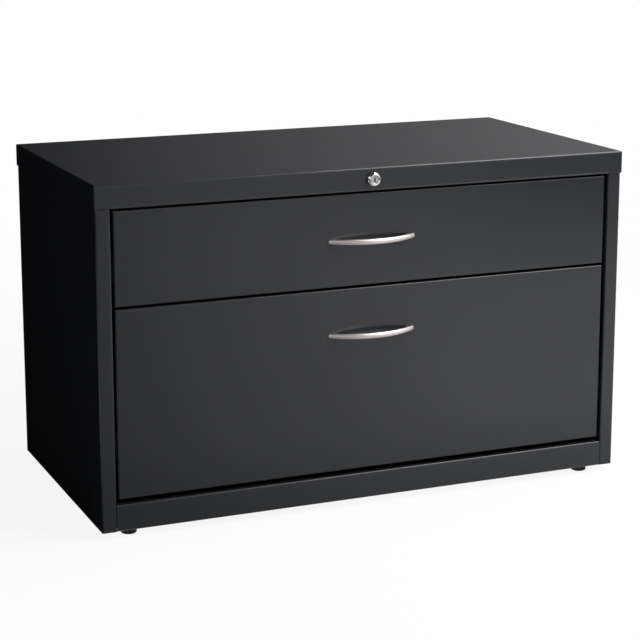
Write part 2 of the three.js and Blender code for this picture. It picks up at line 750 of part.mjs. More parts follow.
// The four walls of a tray, with a rim folded in and down and a foot folded in under the floor
function trayWalls(drawer) {
  const { trayBottom, trayTop } = drawer;
  const height = [trayBottom, trayTop];
  const rim = trayRing(0, TRAY_RIM_WIDTH, [trayTop - TRAY_RIM_DROP, trayTop]);
  const underRim = trayRing(
    DRAWER_SHEET,
    TRAY_RIM_WIDTH - DRAWER_SHEET,
    [trayTop - TRAY_RIM_DROP - CUT_OVERRUN, trayTop - DRAWER_SHEET]);
  const foot = trayRing(0, TRAY_FOOT, [trayBottom, trayBottom + DRAWER_SHEET]);
  const walls = joined(trayRing(0, DRAWER_SHEET, height), rim.subtract(underRim), foot);
  return walls.intersect(
    bottomRounded(around(0, trayHalf), [trayFrontY, trayBackY], height, BEND_RADIUS));
}

// The floor of a tray, which lies on the feet of its walls
function trayFloor(drawer) {
  const inset = DRAWER_SHEET + SEAM_GAP;
  const bottom = drawer.trayBottom + inset;
  return block(
    around(0, trayHalf - inset),
    [trayFrontY + inset, trayBackY - inset],
    [bottom, bottom + DRAWER_SHEET]);
}

// A rail for hanging folders across the file drawer, hooked over the rims of its sides
function hangRail(y) {
  const thickness = around(y, HANG_RAIL_THICKNESS / 2);
  const railTop = lowerDrawer.trayTop + HANG_RAIL_STAND;
  const rail = block(
    around(0, trayHalf - TRAY_RIM_WIDTH - SEAM_GAP), thickness, [railTop - HANG_RAIL_HEIGHT, railTop]);
  const hooks = block(
    around(0, trayHalf - TRAY_RIM_WIDTH + HANG_RAIL_HOOK),
    thickness,
    [lowerDrawer.trayTop + SEAM_GAP, railTop]);
  return rail.add(hooks);
}

// An angle on the right wall of a tray, which the lock bar's catch stands before
function keeper(drawer) {
  const wallX = trayHalf + SEAM_GAP;
  const hookY = lockBarY + LINK_THICKNESS + CATCH_PLAY;
  const outline = foldedSheet([
    [trayHalf + KEEPER_STAND, hookY],
    [wallX, hookY],
    [wallX, hookY + KEEPER_LENGTH],
  ], -KEEPER_SHEET, KEEPER_BEND_RADIUS);
  return prism('z', outline, [drawer.keeperZ, drawer.keeperZ + KEEPER_HEIGHT]);
}

// Handles, with Y from the drawer face inwards and the bow towards the front

class BowCurve extends THREE.Curve {
  constructor(span, depth, overrun) {
    super();
    this.radius = ((span / 2) ** 2 + depth ** 2) / (2 * depth);
    this.centreY = this.radius - depth;
    this.endAngle = Math.asin(span / 2 / this.radius) + overrun;
  }

  depthAt(x) {
    return this.centreY - Math.sqrt(this.radius ** 2 - x ** 2);
  }

  getPoint(t, target = new THREE.Vector3()) {
    const angle = (2 * t - 1) * this.endAngle;
    const y = this.centreY - this.radius * Math.cos(angle);
    return target.set(this.radius * Math.sin(angle), y, 0);
  }
}

function handle() {
  const bow = new BowCurve(HANDLE_SPAN, HANDLE_REACH - HANDLE_THICKNESS / 2, HANDLE_END_OVERRUN);
  const section = new THREE.Shape();
  section.absellipse(0, 0, HANDLE_HEIGHT / 2, HANDLE_THICKNESS / 2, 0, 2 * Math.PI);
  const bar = solidFrom(new THREE.ExtrudeGeometry(section, {
    extrudePath: bow,
    steps: HANDLE_STEPS,
    curveSegments: HANDLE_SIDES,
  }));
  const outside = block(around(0, HANDLE_SPAN), [-2 * HANDLE_REACH, -SEAM_GAP], around(0, HANDLE_HEIGHT));
  const ends = [-HANDLE_SCREW_CENTRES / 2, HANDLE_SCREW_CENTRES / 2];
  const bosses = ends.map((x) => rodAlongY(
    HANDLE_BOSS_RADIUS, [bow.depthAt(x), -SEAM_GAP], x, 0, 2 * HANDLE_SIDES));
  const holes = ends.map((x) => rodAlongY(
    SCREW_RADIUS + SEAM_GAP, [-SCREW_DEPTH - SEAM_GAP, CUT_OVERRUN], x, 0, SCREW_SIDES));
  return joined(bar.intersect(outside), ...bosses).subtract(joined(...holes));
}

function handleScrew() {
  const headY = DRAWER_SHEET + SEAM_GAP;
  return turned([
    [0, -SCREW_DEPTH],
    [SCREW_RADIUS, -SCREW_DEPTH],
    [SCREW_RADIUS, headY],
    [SCREW_HEAD_RADIUS, headY],
    [SCREW_HEAD_RADIUS, headY + SCREW_HEAD_HEIGHT / 2],
    [SCREW_HEAD_RADIUS / 2, headY + SCREW_HEAD_HEIGHT],
    [0, headY + SCREW_HEAD_HEIGHT],
  ], SCREW_SIDES);
}

function handleWithScrews(drawer) {
  const group = new THREE.Group();
  group.position.set(0, faceY, drawer.top - HANDLE_DROP);
  group.add(meshFrom(`${drawer.name}_handle`, handle(), SATIN_NICKEL));
  for (const [sideName, side] of [['left', -1], ['right', 1]]) {
    const screw = meshFrom(`${drawer.name}_${sideName}_handle_screw`, handleScrew(), ZINC_STEEL);
    screw.position.x = (side * HANDLE_SCREW_CENTRES) / 2;
    group.add(screw);
  }
  return group;
}

// Lock, with the origin on its axis at the front of the top panel's flange

function lockHousing() {
  const bore = PLUG_RADIUS + SEAM_GAP;
  return turned([
    [bore, -LOCK_PROUD],
    [LOCK_BEZEL_RADIUS - LOCK_BEZEL_EDGE, -LOCK_PROUD],
    [LOCK_BEZEL_RADIUS, LOCK_BEZEL_EDGE - LOCK_PROUD],
    [LOCK_BEZEL_RADIUS, -SEAM_GAP],
    [LOCK_BARREL_RADIUS, -SEAM_GAP],
    [LOCK_BARREL_RADIUS, LOCK_BARREL_LENGTH],
    [bore, LOCK_BARREL_LENGTH],
  ], LOCK_SIDES);
}

function lockNut() {
  const nutY = lockRailY - frontY + RAIL_SHEET + SEAM_GAP;
  const depth = [nutY, nutY + LOCK_NUT_THICKNESS];
  const bore = rodAlongY(
    LOCK_BARREL_RADIUS + SEAM_GAP, [depth[0] - CUT_OVERRUN, depth[1] + CUT_OVERRUN], 0, 0, LOCK_SIDES);
  return prism('y', hexagon(LOCK_NUT_FLATS), depth).subtract(bore);
}

const camFront = LOCK_BARREL_LENGTH + SEAM_GAP;
const camBack = camFront + CAM_THICKNESS;

function lockPlug() {
  const face = PLUG_RECESS - LOCK_PROUD;
  const body = turned([
    [0, face],
    [PLUG_RADIUS, face],
    [PLUG_RADIUS, LOCK_BARREL_LENGTH],
    [PLUG_STUB_RADIUS, LOCK_BARREL_LENGTH],
    [PLUG_STUB_RADIUS, camBack],
    [0, camBack],
  ], LOCK_SIDES);
  const keyway = block(
    around(0, KEYWAY_WIDTH / 2), [face - CUT_OVERRUN, face + KEYWAY_DEPTH], around(0, KEYWAY_HEIGHT / 2));
  const screwHole = rodAlongY(
    CAM_SCREW_RADIUS + SEAM_GAP,
    [camBack - CAM_SCREW_LENGTH, camBack + CUT_OVERRUN],
    0, 0, SCREW_SIDES);
  return body.subtract(keyway).subtract(screwHole);
}

// The cam's arm hangs down to the right while the lock is open, with a pin towards the back
function lockCam() {
  const pinX = CAM_PIN_DISTANCE * Math.sin(CAM_REST_ANGLE);
  const pinZ = -CAM_PIN_DISTANCE * Math.cos(CAM_REST_ANGLE);
  const arm = prism('y', roundEnded([0, 0], [pinZ, pinX], CAM_ARM_RADIUS), [camFront, camBack]);
  const hub = rodAlongY(
    PLUG_STUB_RADIUS + SEAM_GAP, [camFront - CUT_OVERRUN, camBack + CUT_OVERRUN], 0, 0, LOCK_SIDES);
  const pinEnd = slideBarY - frontY + LINK_THICKNESS + LINK_PLAY;
  const pin = rodAlongY(CAM_PIN_RADIUS, [camBack - CAM_THICKNESS / 2, pinEnd], pinX, pinZ, LOCK_SIDES);
  return arm.add(pin).subtract(hub);
}

// A screw in the plug's end, whose head keeps the cam on
function camScrew() {
  const headY = camBack + SEAM_GAP;
  return turned([
    [0, headY - CAM_SCREW_LENGTH],
    [CAM_SCREW_RADIUS, headY - CAM_SCREW_LENGTH],
    [CAM_SCREW_RADIUS, headY],
    [CAM_SCREW_HEAD_RADIUS, headY],
    [CAM_SCREW_HEAD_RADIUS, headY + CAM_SCREW_HEAD_HEIGHT],
    [0, headY + CAM_SCREW_HEAD_HEIGHT],
  ], SCREW_SIDES);
}

function lock() {
  const group = new THREE.Group();
  group.position.set(0, frontY, lockZ);
  group.add(
    meshFrom('lock_housing', lockHousing(), CHROME),
    meshFrom('lock_nut', lockNut(), ZINC_STEEL),
    meshFrom('lock_plug', lockPlug(), CHROME),
    meshFrom('lock_cam', lockCam(), ZINC_STEEL),
    meshFrom('lock_cam_screw', camScrew(), ZINC_STEEL));
  return group;
}

// A bar that the cam moves to the left, with an upright slot for the cam's pin and a slanted one
// for the lock bar's pin
function lockSlideBar() {
  const depth = [slideBarY, slideBarY + LINK_THICKNESS];
  const cut = [depth[0] - CUT_OVERRUN, depth[1] + CUT_OVERRUN];
  const camPinX = CAM_PIN_DISTANCE * Math.sin(CAM_REST_ANGLE);
  const camPinTop = lockZ - CAM_PIN_DISTANCE * Math.cos(CAM_REST_ANGLE);
  const camPinBottom = lockZ - CAM_PIN_DISTANCE;
  const camSlot = roundEnded([camPinBottom, camPinX], [camPinTop, camPinX], linkSlotRadius);
  const liftSlot = roundEnded(
    [lockPinZ, lockBarX], [lockPinZ + LOCK_LIFT, lockBarX + slideBarTravel], linkSlotRadius);
  const rightEnd = lockBarX + slideBarTravel + linkSlotRadius + SLIDE_BAR_MARGIN;
  const bar = block([-SLIDE_BAR_LEFT_END, rightEnd], depth, [slideBarBottom, slideBarTop]);
  return bar.subtract(prism('y', camSlot, cut)).subtract(prism('y', liftSlot, cut));
}

// An upright bar with a pin at its top and a catch for each drawer
function lockBar() {
  const depth = [lockBarY, lockBarY + LINK_THICKNESS];
  const top = lockPinZ + linkSlotRadius + SLIDE_BAR_MARGIN;
  const bar = block([lockBarLeft, lockBarLeft + LOCK_BAR_WIDTH], depth, [lowerDrawer.catchBottom, top]);
  const catches = [upperDrawer, lowerDrawer].map((drawer) => block(
    [lockBarLeft - CATCH_REACH, lockBarX],
    depth,
    [drawer.catchBottom, drawer.catchBottom + CATCH_HEIGHT]));
  const pin = rodAlongY(
    CAM_PIN_RADIUS,
    [slideBarY - LINK_PLAY, lockBarY + LINK_THICKNESS / 2],
    lockBarX, lockPinZ, LOCK_SIDES);
  return joined(bar, ...catches, pin);
}

// Levelling glide, with its origin on the floor under its stem
function glide() {
  const collarTop = basePanBottom - SEAM_GAP;
  const solid = new THREE.LatheGeometry([
    [0, 0],
    [GLIDE_RADIUS - GLIDE_EDGE, 0],
    [GLIDE_RADIUS, GLIDE_EDGE],
    [GLIDE_RADIUS, GLIDE_DISC_HEIGHT - GLIDE_EDGE],
    [GLIDE_RADIUS - GLIDE_EDGE, GLIDE_DISC_HEIGHT],
    [GLIDE_COLLAR_RADIUS, GLIDE_DISC_HEIGHT],
    [GLIDE_COLLAR_RADIUS, collarTop],
    [GLIDE_STEM_RADIUS, collarTop],
    [GLIDE_STEM_RADIUS, collarTop + GLIDE_STEM_LENGTH],
    [0, collarTop + GLIDE_STEM_LENGTH],
  ].map(([radius, height]) => new THREE.Vector2(radius, height)), GLIDE_SIDES);
  solid.rotateX(Math.PI / 2);
  return solidFrom(solid);
}

// Assembly

function caseGroup() {
  const group = new THREE.Group();
  const rearUprightY = slideFrontY + slideLength - UPRIGHT_WIDTH;
  group.add(
    meshFrom('top_panel', topPanel(), CHARCOAL_PAINT),
    meshFrom('left_side_panel', sidePanel(-1), CHARCOAL_PAINT),
    meshFrom('right_side_panel', sidePanel(1), CHARCOAL_PAINT),
    meshFrom('back_panel', backPanel(), CHARCOAL_PAINT),
    meshFrom('base_rail', baseRail(), CHARCOAL_PAINT),
    meshFrom('base_pan', basePan(), CHARCOAL_PAINT),
    meshFrom('counterweight', counterweight(), BLACK_STEEL),
    meshFrom('lock_rail', lockRail(), CHARCOAL_PAINT),
    meshFrom('left_front_upright', upright(-1, uprightFrontY), CHARCOAL_PAINT),
    meshFrom('left_rear_upright', upright(-1, rearUprightY), CHARCOAL_PAINT),
    meshFrom('right_front_upright', rightFrontUpright(), CHARCOAL_PAINT),
    meshFrom('right_rear_upright', upright(1, rearUprightY), CHARCOAL_PAINT));
  return group;
}

function drawerGroup(drawer) {
  const group = new THREE.Group();
  group.add(
    meshFrom(`${drawer.name}_drawer_face`, drawerFace(drawer), CHARCOAL_PAINT),
    meshFrom(`${drawer.name}_tray_walls`, trayWalls(drawer), CHARCOAL_PAINT),
    meshFrom(`${drawer.name}_tray_floor`, trayFloor(drawer), CHARCOAL_PAINT),
    meshFrom(`${drawer.name}_lock_keeper`, keeper(drawer), ZINC_STEEL),
    handleWithScrews(drawer),
    telescopicSlide(drawer, 'left', -1),
    telescopicSlide(drawer, 'right', 1));
  return group;
}

function hangRails() {
  const group = new THREE.Group();
  group.add(
    meshFrom('front_hang_rail', hangRail(trayFrontY + HANG_RAIL_INSET), ZINC_STEEL),
    meshFrom('rear_hang_rail', hangRail(trayBackY - HANG_RAIL_INSET), ZINC_STEEL));
  return group;
}

function lockLinkage() {
  const group = new THREE.Group();
  group.add(
    meshFrom('lock_slide_bar', lockSlideBar(), ZINC_STEEL),
    meshFrom('lock_bar', lockBar(), ZINC_STEEL));
  return group;
}

function glides() {
  const group = new THREE.Group();
  const solid = glide();
  for (const { name, x, y } of glidePlaces()) {
    const mesh = meshFrom(name, solid, BLACK_PLASTIC);
    mesh.position.set(x, y, 0);
    group.add(mesh);
  }
  return group;
}

const cabinet = new THREE.Group();
cabinet.add(
  caseGroup(),
  drawerGroup(upperDrawer),
  drawerGroup(lowerDrawer),
  hangRails(),
  lock(),
  lockLinkage(),
  glides());

export default cabinet;
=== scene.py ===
import math

import bmesh
import bpy
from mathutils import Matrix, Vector


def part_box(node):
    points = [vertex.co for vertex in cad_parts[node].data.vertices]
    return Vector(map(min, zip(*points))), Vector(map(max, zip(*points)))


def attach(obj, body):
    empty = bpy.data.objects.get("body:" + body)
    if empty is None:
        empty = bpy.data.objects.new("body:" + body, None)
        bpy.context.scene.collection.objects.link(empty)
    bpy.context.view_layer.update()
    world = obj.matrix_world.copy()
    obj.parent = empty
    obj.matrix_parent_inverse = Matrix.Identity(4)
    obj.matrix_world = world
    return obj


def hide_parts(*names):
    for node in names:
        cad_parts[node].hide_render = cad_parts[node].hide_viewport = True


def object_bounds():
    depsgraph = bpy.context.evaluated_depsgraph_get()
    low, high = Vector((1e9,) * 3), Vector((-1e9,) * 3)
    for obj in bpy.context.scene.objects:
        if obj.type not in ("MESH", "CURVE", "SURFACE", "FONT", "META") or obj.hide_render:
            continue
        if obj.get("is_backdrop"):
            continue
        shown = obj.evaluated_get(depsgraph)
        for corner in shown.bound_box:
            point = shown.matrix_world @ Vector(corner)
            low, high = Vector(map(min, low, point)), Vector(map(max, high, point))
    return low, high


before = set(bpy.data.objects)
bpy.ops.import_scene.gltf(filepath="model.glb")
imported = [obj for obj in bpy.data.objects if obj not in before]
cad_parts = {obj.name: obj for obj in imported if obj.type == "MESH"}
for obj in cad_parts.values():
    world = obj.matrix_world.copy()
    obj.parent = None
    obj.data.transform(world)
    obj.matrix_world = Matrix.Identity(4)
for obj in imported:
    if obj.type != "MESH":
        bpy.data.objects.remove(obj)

CAD_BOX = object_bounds()

# Camera, fitted to the corners of the case in the photograph
FRAME_PIXELS = 640
SENSOR_WIDTH = 36.0
CAMERA_PLACE = (-1.2274, -2.9144, 1.0260)
CAMERA_TURN = math.radians(-22.895)
CAMERA_DIP = math.radians(11.68)
CAMERA_FOCUS_PIXELS = 1891.9
CAMERA_SHIFT_Y = -0.1

# Studio
FLOOR_HALF = 40.0
FLOOR_GREY = 0.82
FLOOR_WHITE_NEAR = 0.9
FLOOR_SHADE_REACH = 1.0
FLOOR_WHITE_REACH = 2.4
AMBIENT_LEVEL = 0.18
CLOTH_LAYER = 0.001
EVEN_DENSITY = (1.0, 1.0)

# Seams between touching pieces, and bends of the sheet
SEAM_GAP = 0.0003
BEND_RADIUS = 0.002
FOLD_BEND_RADIUS = 0.0036
BEND_SAMPLES = 8
CREASE_ANGLE = math.radians(35)

# Handles
HANDLE_SPAN = 0.146
HANDLE_THICKNESS_SHARE = 7 / 9
HANDLE_END_SHARE = 0.86
HANDLE_NOSE = 0.0030
HANDLE_NOSE_SUNK = 0.0025
HANDLE_RINGS = 96
HANDLE_SIDES = 28
HANDLE_POST_CENTRES = 0.128
HANDLE_POST_RADIUS = 0.0040
HANDLE_POST_TAPER = 0.8

# Lock
LOCK_SIDES = 72
LOCK_FLAT_SHARE = 0.62
LOCK_DOME_DEPTH = 0.0056
LOCK_DOME_STEPS = 8
LOCK_LIP = 0.0004
LOCK_BARREL_RADIUS = 0.0080
PLUG_EDGE = 0.0004
PLUG_STUB_RADIUS = 0.0030
KEYWAY_WIDTH = 0.0020
KEYWAY_HEIGHT = 0.0065
KEYWAY_DEPTH = 0.012
KEYWAY_WARD = 0.0007
KEYWAY_FLARE = 0.0004

# Glides
GLIDE_SIDES = 48
GLIDE_DISC_HEIGHT = 0.008
GLIDE_EDGE = 0.0020
GLIDE_EDGE_STEPS = 5
GLIDE_COLLAR_RADIUS = 0.0075
GLIDE_STEM_RADIUS = 0.005
THREAD_PITCH = 0.0015
THREAD_DEPTH = 0.0007
THREAD_SIDES = 32
THREAD_RINGS_PER_TURN = 8

# Spot welds on the back panel
WELD_RADIUS = 0.0035
WELD_RISE = 0.0003
WELD_DISH = 0.00015
WELD_CROWN_SHARE = 0.8
WELD_DISH_SHARE = 0.5
WELD_SIDES = 24
WELD_PITCH = 0.075
WELD_EDGE_INSET = 0.010
WELD_END_INSET = 0.045

# Sockets of the node that mixes colours, by number, because its names repeat
MIX_SHARE = 0
MIX_FIRST_COLOUR = 6
MIX_SECOND_COLOUR = 7
MIX_COLOUR_RESULT = 2

# Shared effects: their sizes and shares, and the ranges in which they set in
FINE_RIPPLE_RATIO = 3.1
FINE_RIPPLE_SHARE = 0.35
RUB_SAMPLES = 4
RUB_BEND_COSINES = (0.995, 0.80)
RUB_BREAK_RANGE = (0.0, 0.2)
DUST_UPWARD_RANGE = (0.75, 1.0)
DUST_SPECKS_PER_METRE = 900.0
DUST_SPECK_RANGE = (0.45, 0.7)
DUST_LEAST_FILM = 0.4
SMUDGE_RANGE = (0.35, 0.7)
WIPED_RATIO = 0.35
SLOW_LINE_RATIO = 0.08
CLOUDS_PER_METRE = 30.0
CRYSTAL_SHARE = 0.4
CLOUD_SHARE = 0.6
DRIFT_RANGE = (0.3, 0.7)
LINE_RANGE = (0.2, 0.8)
CRUST_RANGE = (0.3, 1.0)

# Charcoal paint
PAINT_DARK = (0.0134, 0.0146, 0.0172, 1)
PAINT_LIGHT = (0.0158, 0.0171, 0.0199, 1)
PAINT_RUBBED = (0.075, 0.077, 0.080, 1)
PAINT_RUB_SHARE = 0.35
PAINT_SMUDGE_ROUGHNESS = 0.03
PAINT_RELIEF = 0.000006
DUST_COLOUR = (0.16, 0.155, 0.145, 1)
DUST_ROUGHNESS = 0.5

# Zinc plate
ZINC_DARK_SHARE = 0.72
ZINC_SMUDGE_ROUGHNESS = 0.22
ZINC_BLOOM_ROUGHNESS = 0.10
ZINC_RELIEF = 0.00001

# Satin nickel
NICKEL_DARK = (0.70, 0.652, 0.634, 1)
NICKEL_LIGHT = (0.82, 0.776, 0.757, 1)
NICKEL_ROUGHNESS = (0.34, 0.46)
NICKEL_SMUDGE_ROUGHNESS = 0.12
NICKEL_RELIEF = 0.000012

# Lock chrome
CHROME_DARK = (0.64, 0.62, 0.615, 1)
CHROME_LIGHT = (0.75, 0.73, 0.725, 1)
CHROME_SMUDGE_RANGE = (0.0, 0.6)
CHROME_ROUGHNESS = (0.07, 0.16)
CHROME_RELIEF = 0.000004

# Painted shade in the key slot: a near-black colour that stands in for the shade inside the deep slot
KEYWAY_SHADE_DARK = (0.004, 0.004, 0.004, 1)
KEYWAY_SHADE_LIGHT = (0.016, 0.014, 0.011, 1)
KEYWAY_SHADE_ROUGHNESS = (0.5, 0.8)
KEYWAY_SHADE_RELIEF = 0.00002

# Black nylon
NYLON_DARK = (0.006, 0.006, 0.007, 1)
NYLON_LIGHT = (0.010, 0.010, 0.011, 1)
NYLON_SCUFFED = (0.05, 0.05, 0.05, 1)
NYLON_SCUFF_SHARE = 0.6
NYLON_SPECULAR = 0.2
NYLON_ROUGHNESS = (0.42, 0.58)
NYLON_RELIEF = 0.00003

# Mill scale on the counterweight
SCALE_DARK = (0.018, 0.018, 0.020, 1)
SCALE_LIGHT = (0.045, 0.043, 0.042, 1)
SCALE_WORN = (0.22, 0.21, 0.20, 1)
SCALE_WEAR_SHARE = 0.7
SCALE_ROUGHNESS = (0.45, 0.7)
SCALE_METALLIC = 0.4
SCALE_RELIEF = 0.00008


# Objects and meshes

def add_object(name, data):
    """A new object in the scene."""
    made = bpy.data.objects.new(name, data)
    bpy.context.scene.collection.objects.link(made)
    return made


def piece_from(name, build, materials, body):
    """A new piece whose mesh the given function fills, riding on a body."""
    made = bmesh.new()
    build(made)
    bmesh.ops.recalc_face_normals(made, faces=made.faces)
    mesh = bpy.data.meshes.new(name)
    made.to_mesh(mesh)
    made.free()
    piece = add_object(name, mesh)
    for material in materials:
        mesh.materials.append(material)
    smooth_by_angle(mesh)
    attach(piece, body)
    return piece


def smooth_by_angle(mesh):
    """Smooth shading, with edges sharper than the crease angle kept crisp."""
    mesh.shade_smooth()
    mesh.set_sharp_from_angle(angle=CREASE_ANGLE)


def bridge(made, first, second):
    """Quads between two closed rings of as many points."""
    count = len(first)
    faces = []
    for i in range(count):
        after = (i + 1) % count
        faces.append(made.faces.new((first[i], first[after], second[after], second[i])))
    return faces


def ring(made, points):
    """New points, in order."""
    return [made.verts.new(point) for point in points]


def arc(centre, radius, start, end, steps):
    """Points of an arc, as pairs, between two angles in degrees."""
    points = []
    for i in range(steps + 1):
        angle = math.radians(start + (end - start) * i / steps)
        points.append((centre[0] + radius * math.cos(angle), centre[1] + radius * math.sin(angle)))
    return points


def angles(sides):
    """The angles of the sides of a turned body."""
    return [2 * math.pi * i / sides for i in range(sides)]


def turned(made, profile, sides, place):
    """The rings of a turned body: the profile is pairs of radius and distance along the axis, and
    place puts a radius, an angle and a distance into space."""
    return [
        ring(made, [place(radius, around, along) for around in angles(sides)])
        for radius, along in profile
    ]


def join(made, rings, ends=True):
    """Walls between rings that follow each other, and a face on each end."""
    for first, second in zip(rings, rings[1:]):
        bridge(made, first, second)
    if ends:
        made.faces.new(rings[0])
        made.faces.new(rings[-1])


def along_y(centre):
    """Turned bodies whose axis runs along Y through the centre."""
    def place(radius, angle, along):
        return centre + Vector((radius * math.cos(angle), along, radius * math.sin(angle)))
    return place


def along_z(centre):
    """Turned bodies whose axis runs along Z through the centre."""
    def place(radius, angle, along):
        return centre + Vector((radius * math.cos(angle), radius * math.sin(angle), along))
    return place


# Node trees

def node(tree, kind, settings=None, **inputs):
    """A node with its settings and inputs. An input is a value or the socket that feeds it."""
    made = tree.nodes.new(kind)
    for name, value in (settings or {}).items():
        setattr(made, name, value)
    for name, value in inputs.items():
        feed(tree, made.inputs[name.replace("_", " ")], value)
    return made


def feed(tree, socket, value):
    """Links a socket to the one that feeds it, or sets its value."""
    if isinstance(value, bpy.types.NodeSocket):
        tree.links.new(value, socket)
    else:
        socket.default_value = value


def maths(tree, operation, *values):
    """The result of a sum on values or sockets."""
    made = tree.nodes.new("ShaderNodeMath")
    made.operation = operation
    for socket, value in zip(made.inputs, values):
        feed(tree, socket, value)
    return made.outputs["Value"]


def blended(tree, share, first, second):
    """A colour between two others."""
    made = tree.nodes.new("ShaderNodeMix")
    made.data_type = "RGBA"
    feed(tree, made.inputs[MIX_SHARE], share)
    feed(tree, made.inputs[MIX_FIRST_COLOUR], first)
    feed(tree, made.inputs[MIX_SECOND_COLOUR], second)
    return made.outputs[MIX_COLOUR_RESULT]


def mixed_shader(tree, share, first, second):
    """A shader between two others."""
    made = tree.nodes.new("ShaderNodeMixShader")
    for socket, value in zip(made.inputs, (share, first, second)):
        feed(tree, socket, value)
    return made.outputs["Shader"]


def between(tree, value, low, high, to_low=0.0, to_high=1.0):
    """A value moved from one range to another, and held inside it."""
    made = node(tree, "ShaderNodeMapRange", Value=value)
    made.inputs["From Min"].default_value = low
    made.inputs["From Max"].default_value = high
    made.inputs["To Min"].default_value = to_low
    made.inputs["To Max"].default_value = to_high
    return made.outputs["Result"]


def noise(tree, place, scale, detail=3.0, roughness=0.5):
    """A cloudy pattern of values. The scale is how many clouds there are to the metre."""
    made = node(
        tree, "ShaderNodeTexNoise", Vector=place, Scale=scale, Detail=detail, Roughness=roughness)
    return made.outputs["Fac"]


def surface_place(tree):
    """The place on the object, which moves with it."""
    return node(tree, "ShaderNodeTexCoord").outputs["Object"]


def new_group(name, inputs, outputs):
    """A shader node group with named value inputs and outputs."""
    tree = bpy.data.node_groups.new(name, "ShaderNodeTree")
    for label, default in inputs.items():
        socket = tree.interface.new_socket(label, in_out="INPUT", socket_type="NodeSocketFloat")
        socket.default_value = default
    for label in outputs:
        tree.interface.new_socket(label, in_out="OUTPUT", socket_type="NodeSocketFloat")
    given = tree.nodes.new("NodeGroupInput").outputs
    result = tree.nodes.new("NodeGroupOutput").inputs
    return tree, given, result


def cleared_tree(owner):
    """The empty node tree of a material or world."""
    owner.use_nodes = True
    owner.node_tree.nodes.clear()
    return owner.node_tree


def shown(tree, shader, output="ShaderNodeOutputMaterial"):
    """Ends a tree with the shader that it shows."""
    tree.links.new(shader, tree.nodes.new(output).inputs["Surface"])


def placed(tree, group, **inputs):
    """A group placed in a material, with its own values."""
    made = tree.nodes.new("ShaderNodeGroup")
    made.node_tree = group
    for name, value in inputs.items():
        made.inputs[name.replace("_", " ")].default_value = value
    return made.outputs


# Shared effects

def orange_peel_group():
    """The fine, even ripple of powder coat, with a slow drift of tone over each panel."""
    tree, given, result = new_group(
        "orange_peel", {"Ripples per metre": 420.0, "Drift per metre": 3.0}, ["Height", "Drift"])
    place = surface_place(tree)
    ripple = noise(tree, place, given["Ripples per metre"], detail=2.0)
    finer = maths(tree, "MULTIPLY", given["Ripples per metre"], FINE_RIPPLE_RATIO)
    fine = noise(tree, place, finer, detail=1.0)
    height = maths(tree, "MULTIPLY_ADD", fine, FINE_RIPPLE_SHARE, ripple)
    drift = noise(tree, place, given["Drift per metre"], detail=2.0)
    tree.links.new(height, result["Height"])
    tree.links.new(drift, result["Drift"])
    return tree


def edge_rub_group():
    """Where hands and trolleys rub: a broken line along sharp edges."""
    tree, given, result = new_group(
        "edge_rub", {"Width": 0.0012, "Breaks per metre": 60.0, "Least": 0.45}, ["Mask"])
    bevel = node(tree, "ShaderNodeBevel", {"samples": RUB_SAMPLES}, Radius=given["Width"])
    true_normal = node(tree, "ShaderNodeNewGeometry").outputs["Normal"]
    facing = tree.nodes.new("ShaderNodeVectorMath")
    facing.operation = "DOT_PRODUCT"
    for socket, normal in zip(facing.inputs, (bevel.outputs["Normal"], true_normal)):
        tree.links.new(normal, socket)
    bend = between(tree, facing.outputs["Value"], *RUB_BEND_COSINES)
    breaks = noise(tree, surface_place(tree), given["Breaks per metre"], detail=4.0, roughness=0.65)
    kept = maths(tree, "SUBTRACT", breaks, given["Least"])
    broken = between(tree, kept, *RUB_BREAK_RANGE)
    tree.links.new(maths(tree, "MULTIPLY", bend, broken), result["Mask"])
    return tree


def settled_dust_group():
    """A thin film of dust on what faces up."""
    tree, given, result = new_group("settled_dust", {"Patches per metre": 9.0}, ["Mask"])
    normal = node(tree, "ShaderNodeNewGeometry").outputs["Normal"]
    upward = node(tree, "ShaderNodeSeparateXYZ", Vector=normal).outputs["Z"]
    facing = between(tree, upward, *DUST_UPWARD_RANGE)
    patches = noise(tree, surface_place(tree), given["Patches per metre"], detail=5.0, roughness=0.6)
    specks = noise(tree, surface_place(tree), DUST_SPECKS_PER_METRE, detail=1.0)
    speckled = between(tree, specks, *DUST_SPECK_RANGE, to_low=DUST_LEAST_FILM)
    film = maths(tree, "MULTIPLY", patches, speckled)
    tree.links.new(maths(tree, "MULTIPLY", facing, film), result["Mask"])
    return tree


def handling_group():
    """Smudges and wiped patches that change the gloss."""
    tree, given, result = new_group("handling", {"Smudges per metre": 14.0}, ["Mask"])
    place = surface_place(tree)
    broad = noise(tree, place, given["Smudges per metre"], detail=2.0)
    slower = maths(tree, "MULTIPLY", given["Smudges per metre"], WIPED_RATIO)
    wiped = noise(tree, place, slower, detail=2.0)
    mask = maths(tree, "MULTIPLY", between(tree, broad, *SMUDGE_RANGE), wiped)
    tree.links.new(mask, result["Mask"])
    return tree


def drawn_lines_group():
    """Fine lines along X, as drawing or brushing leaves them."""
    tree, given, result = new_group(
        "drawn_lines", {"Lines per metre": 2600.0, "Stretch": 40.0}, ["Height", "Tone"])
    split = node(tree, "ShaderNodeSeparateXYZ", Vector=surface_place(tree)).outputs
    squeezed = maths(tree, "DIVIDE", split["X"], given["Stretch"])
    place = node(tree, "ShaderNodeCombineXYZ", X=squeezed, Y=split["Y"], Z=split["Z"]).outputs["Vector"]
    lines = noise(tree, place, given["Lines per metre"], detail=3.0, roughness=0.6)
    slower = maths(tree, "MULTIPLY", given["Lines per metre"], SLOW_LINE_RATIO)
    slow = noise(tree, place, slower, detail=2.0)
    tree.links.new(lines, result["Height"])
    tree.links.new(slow, result["Tone"])
    return tree


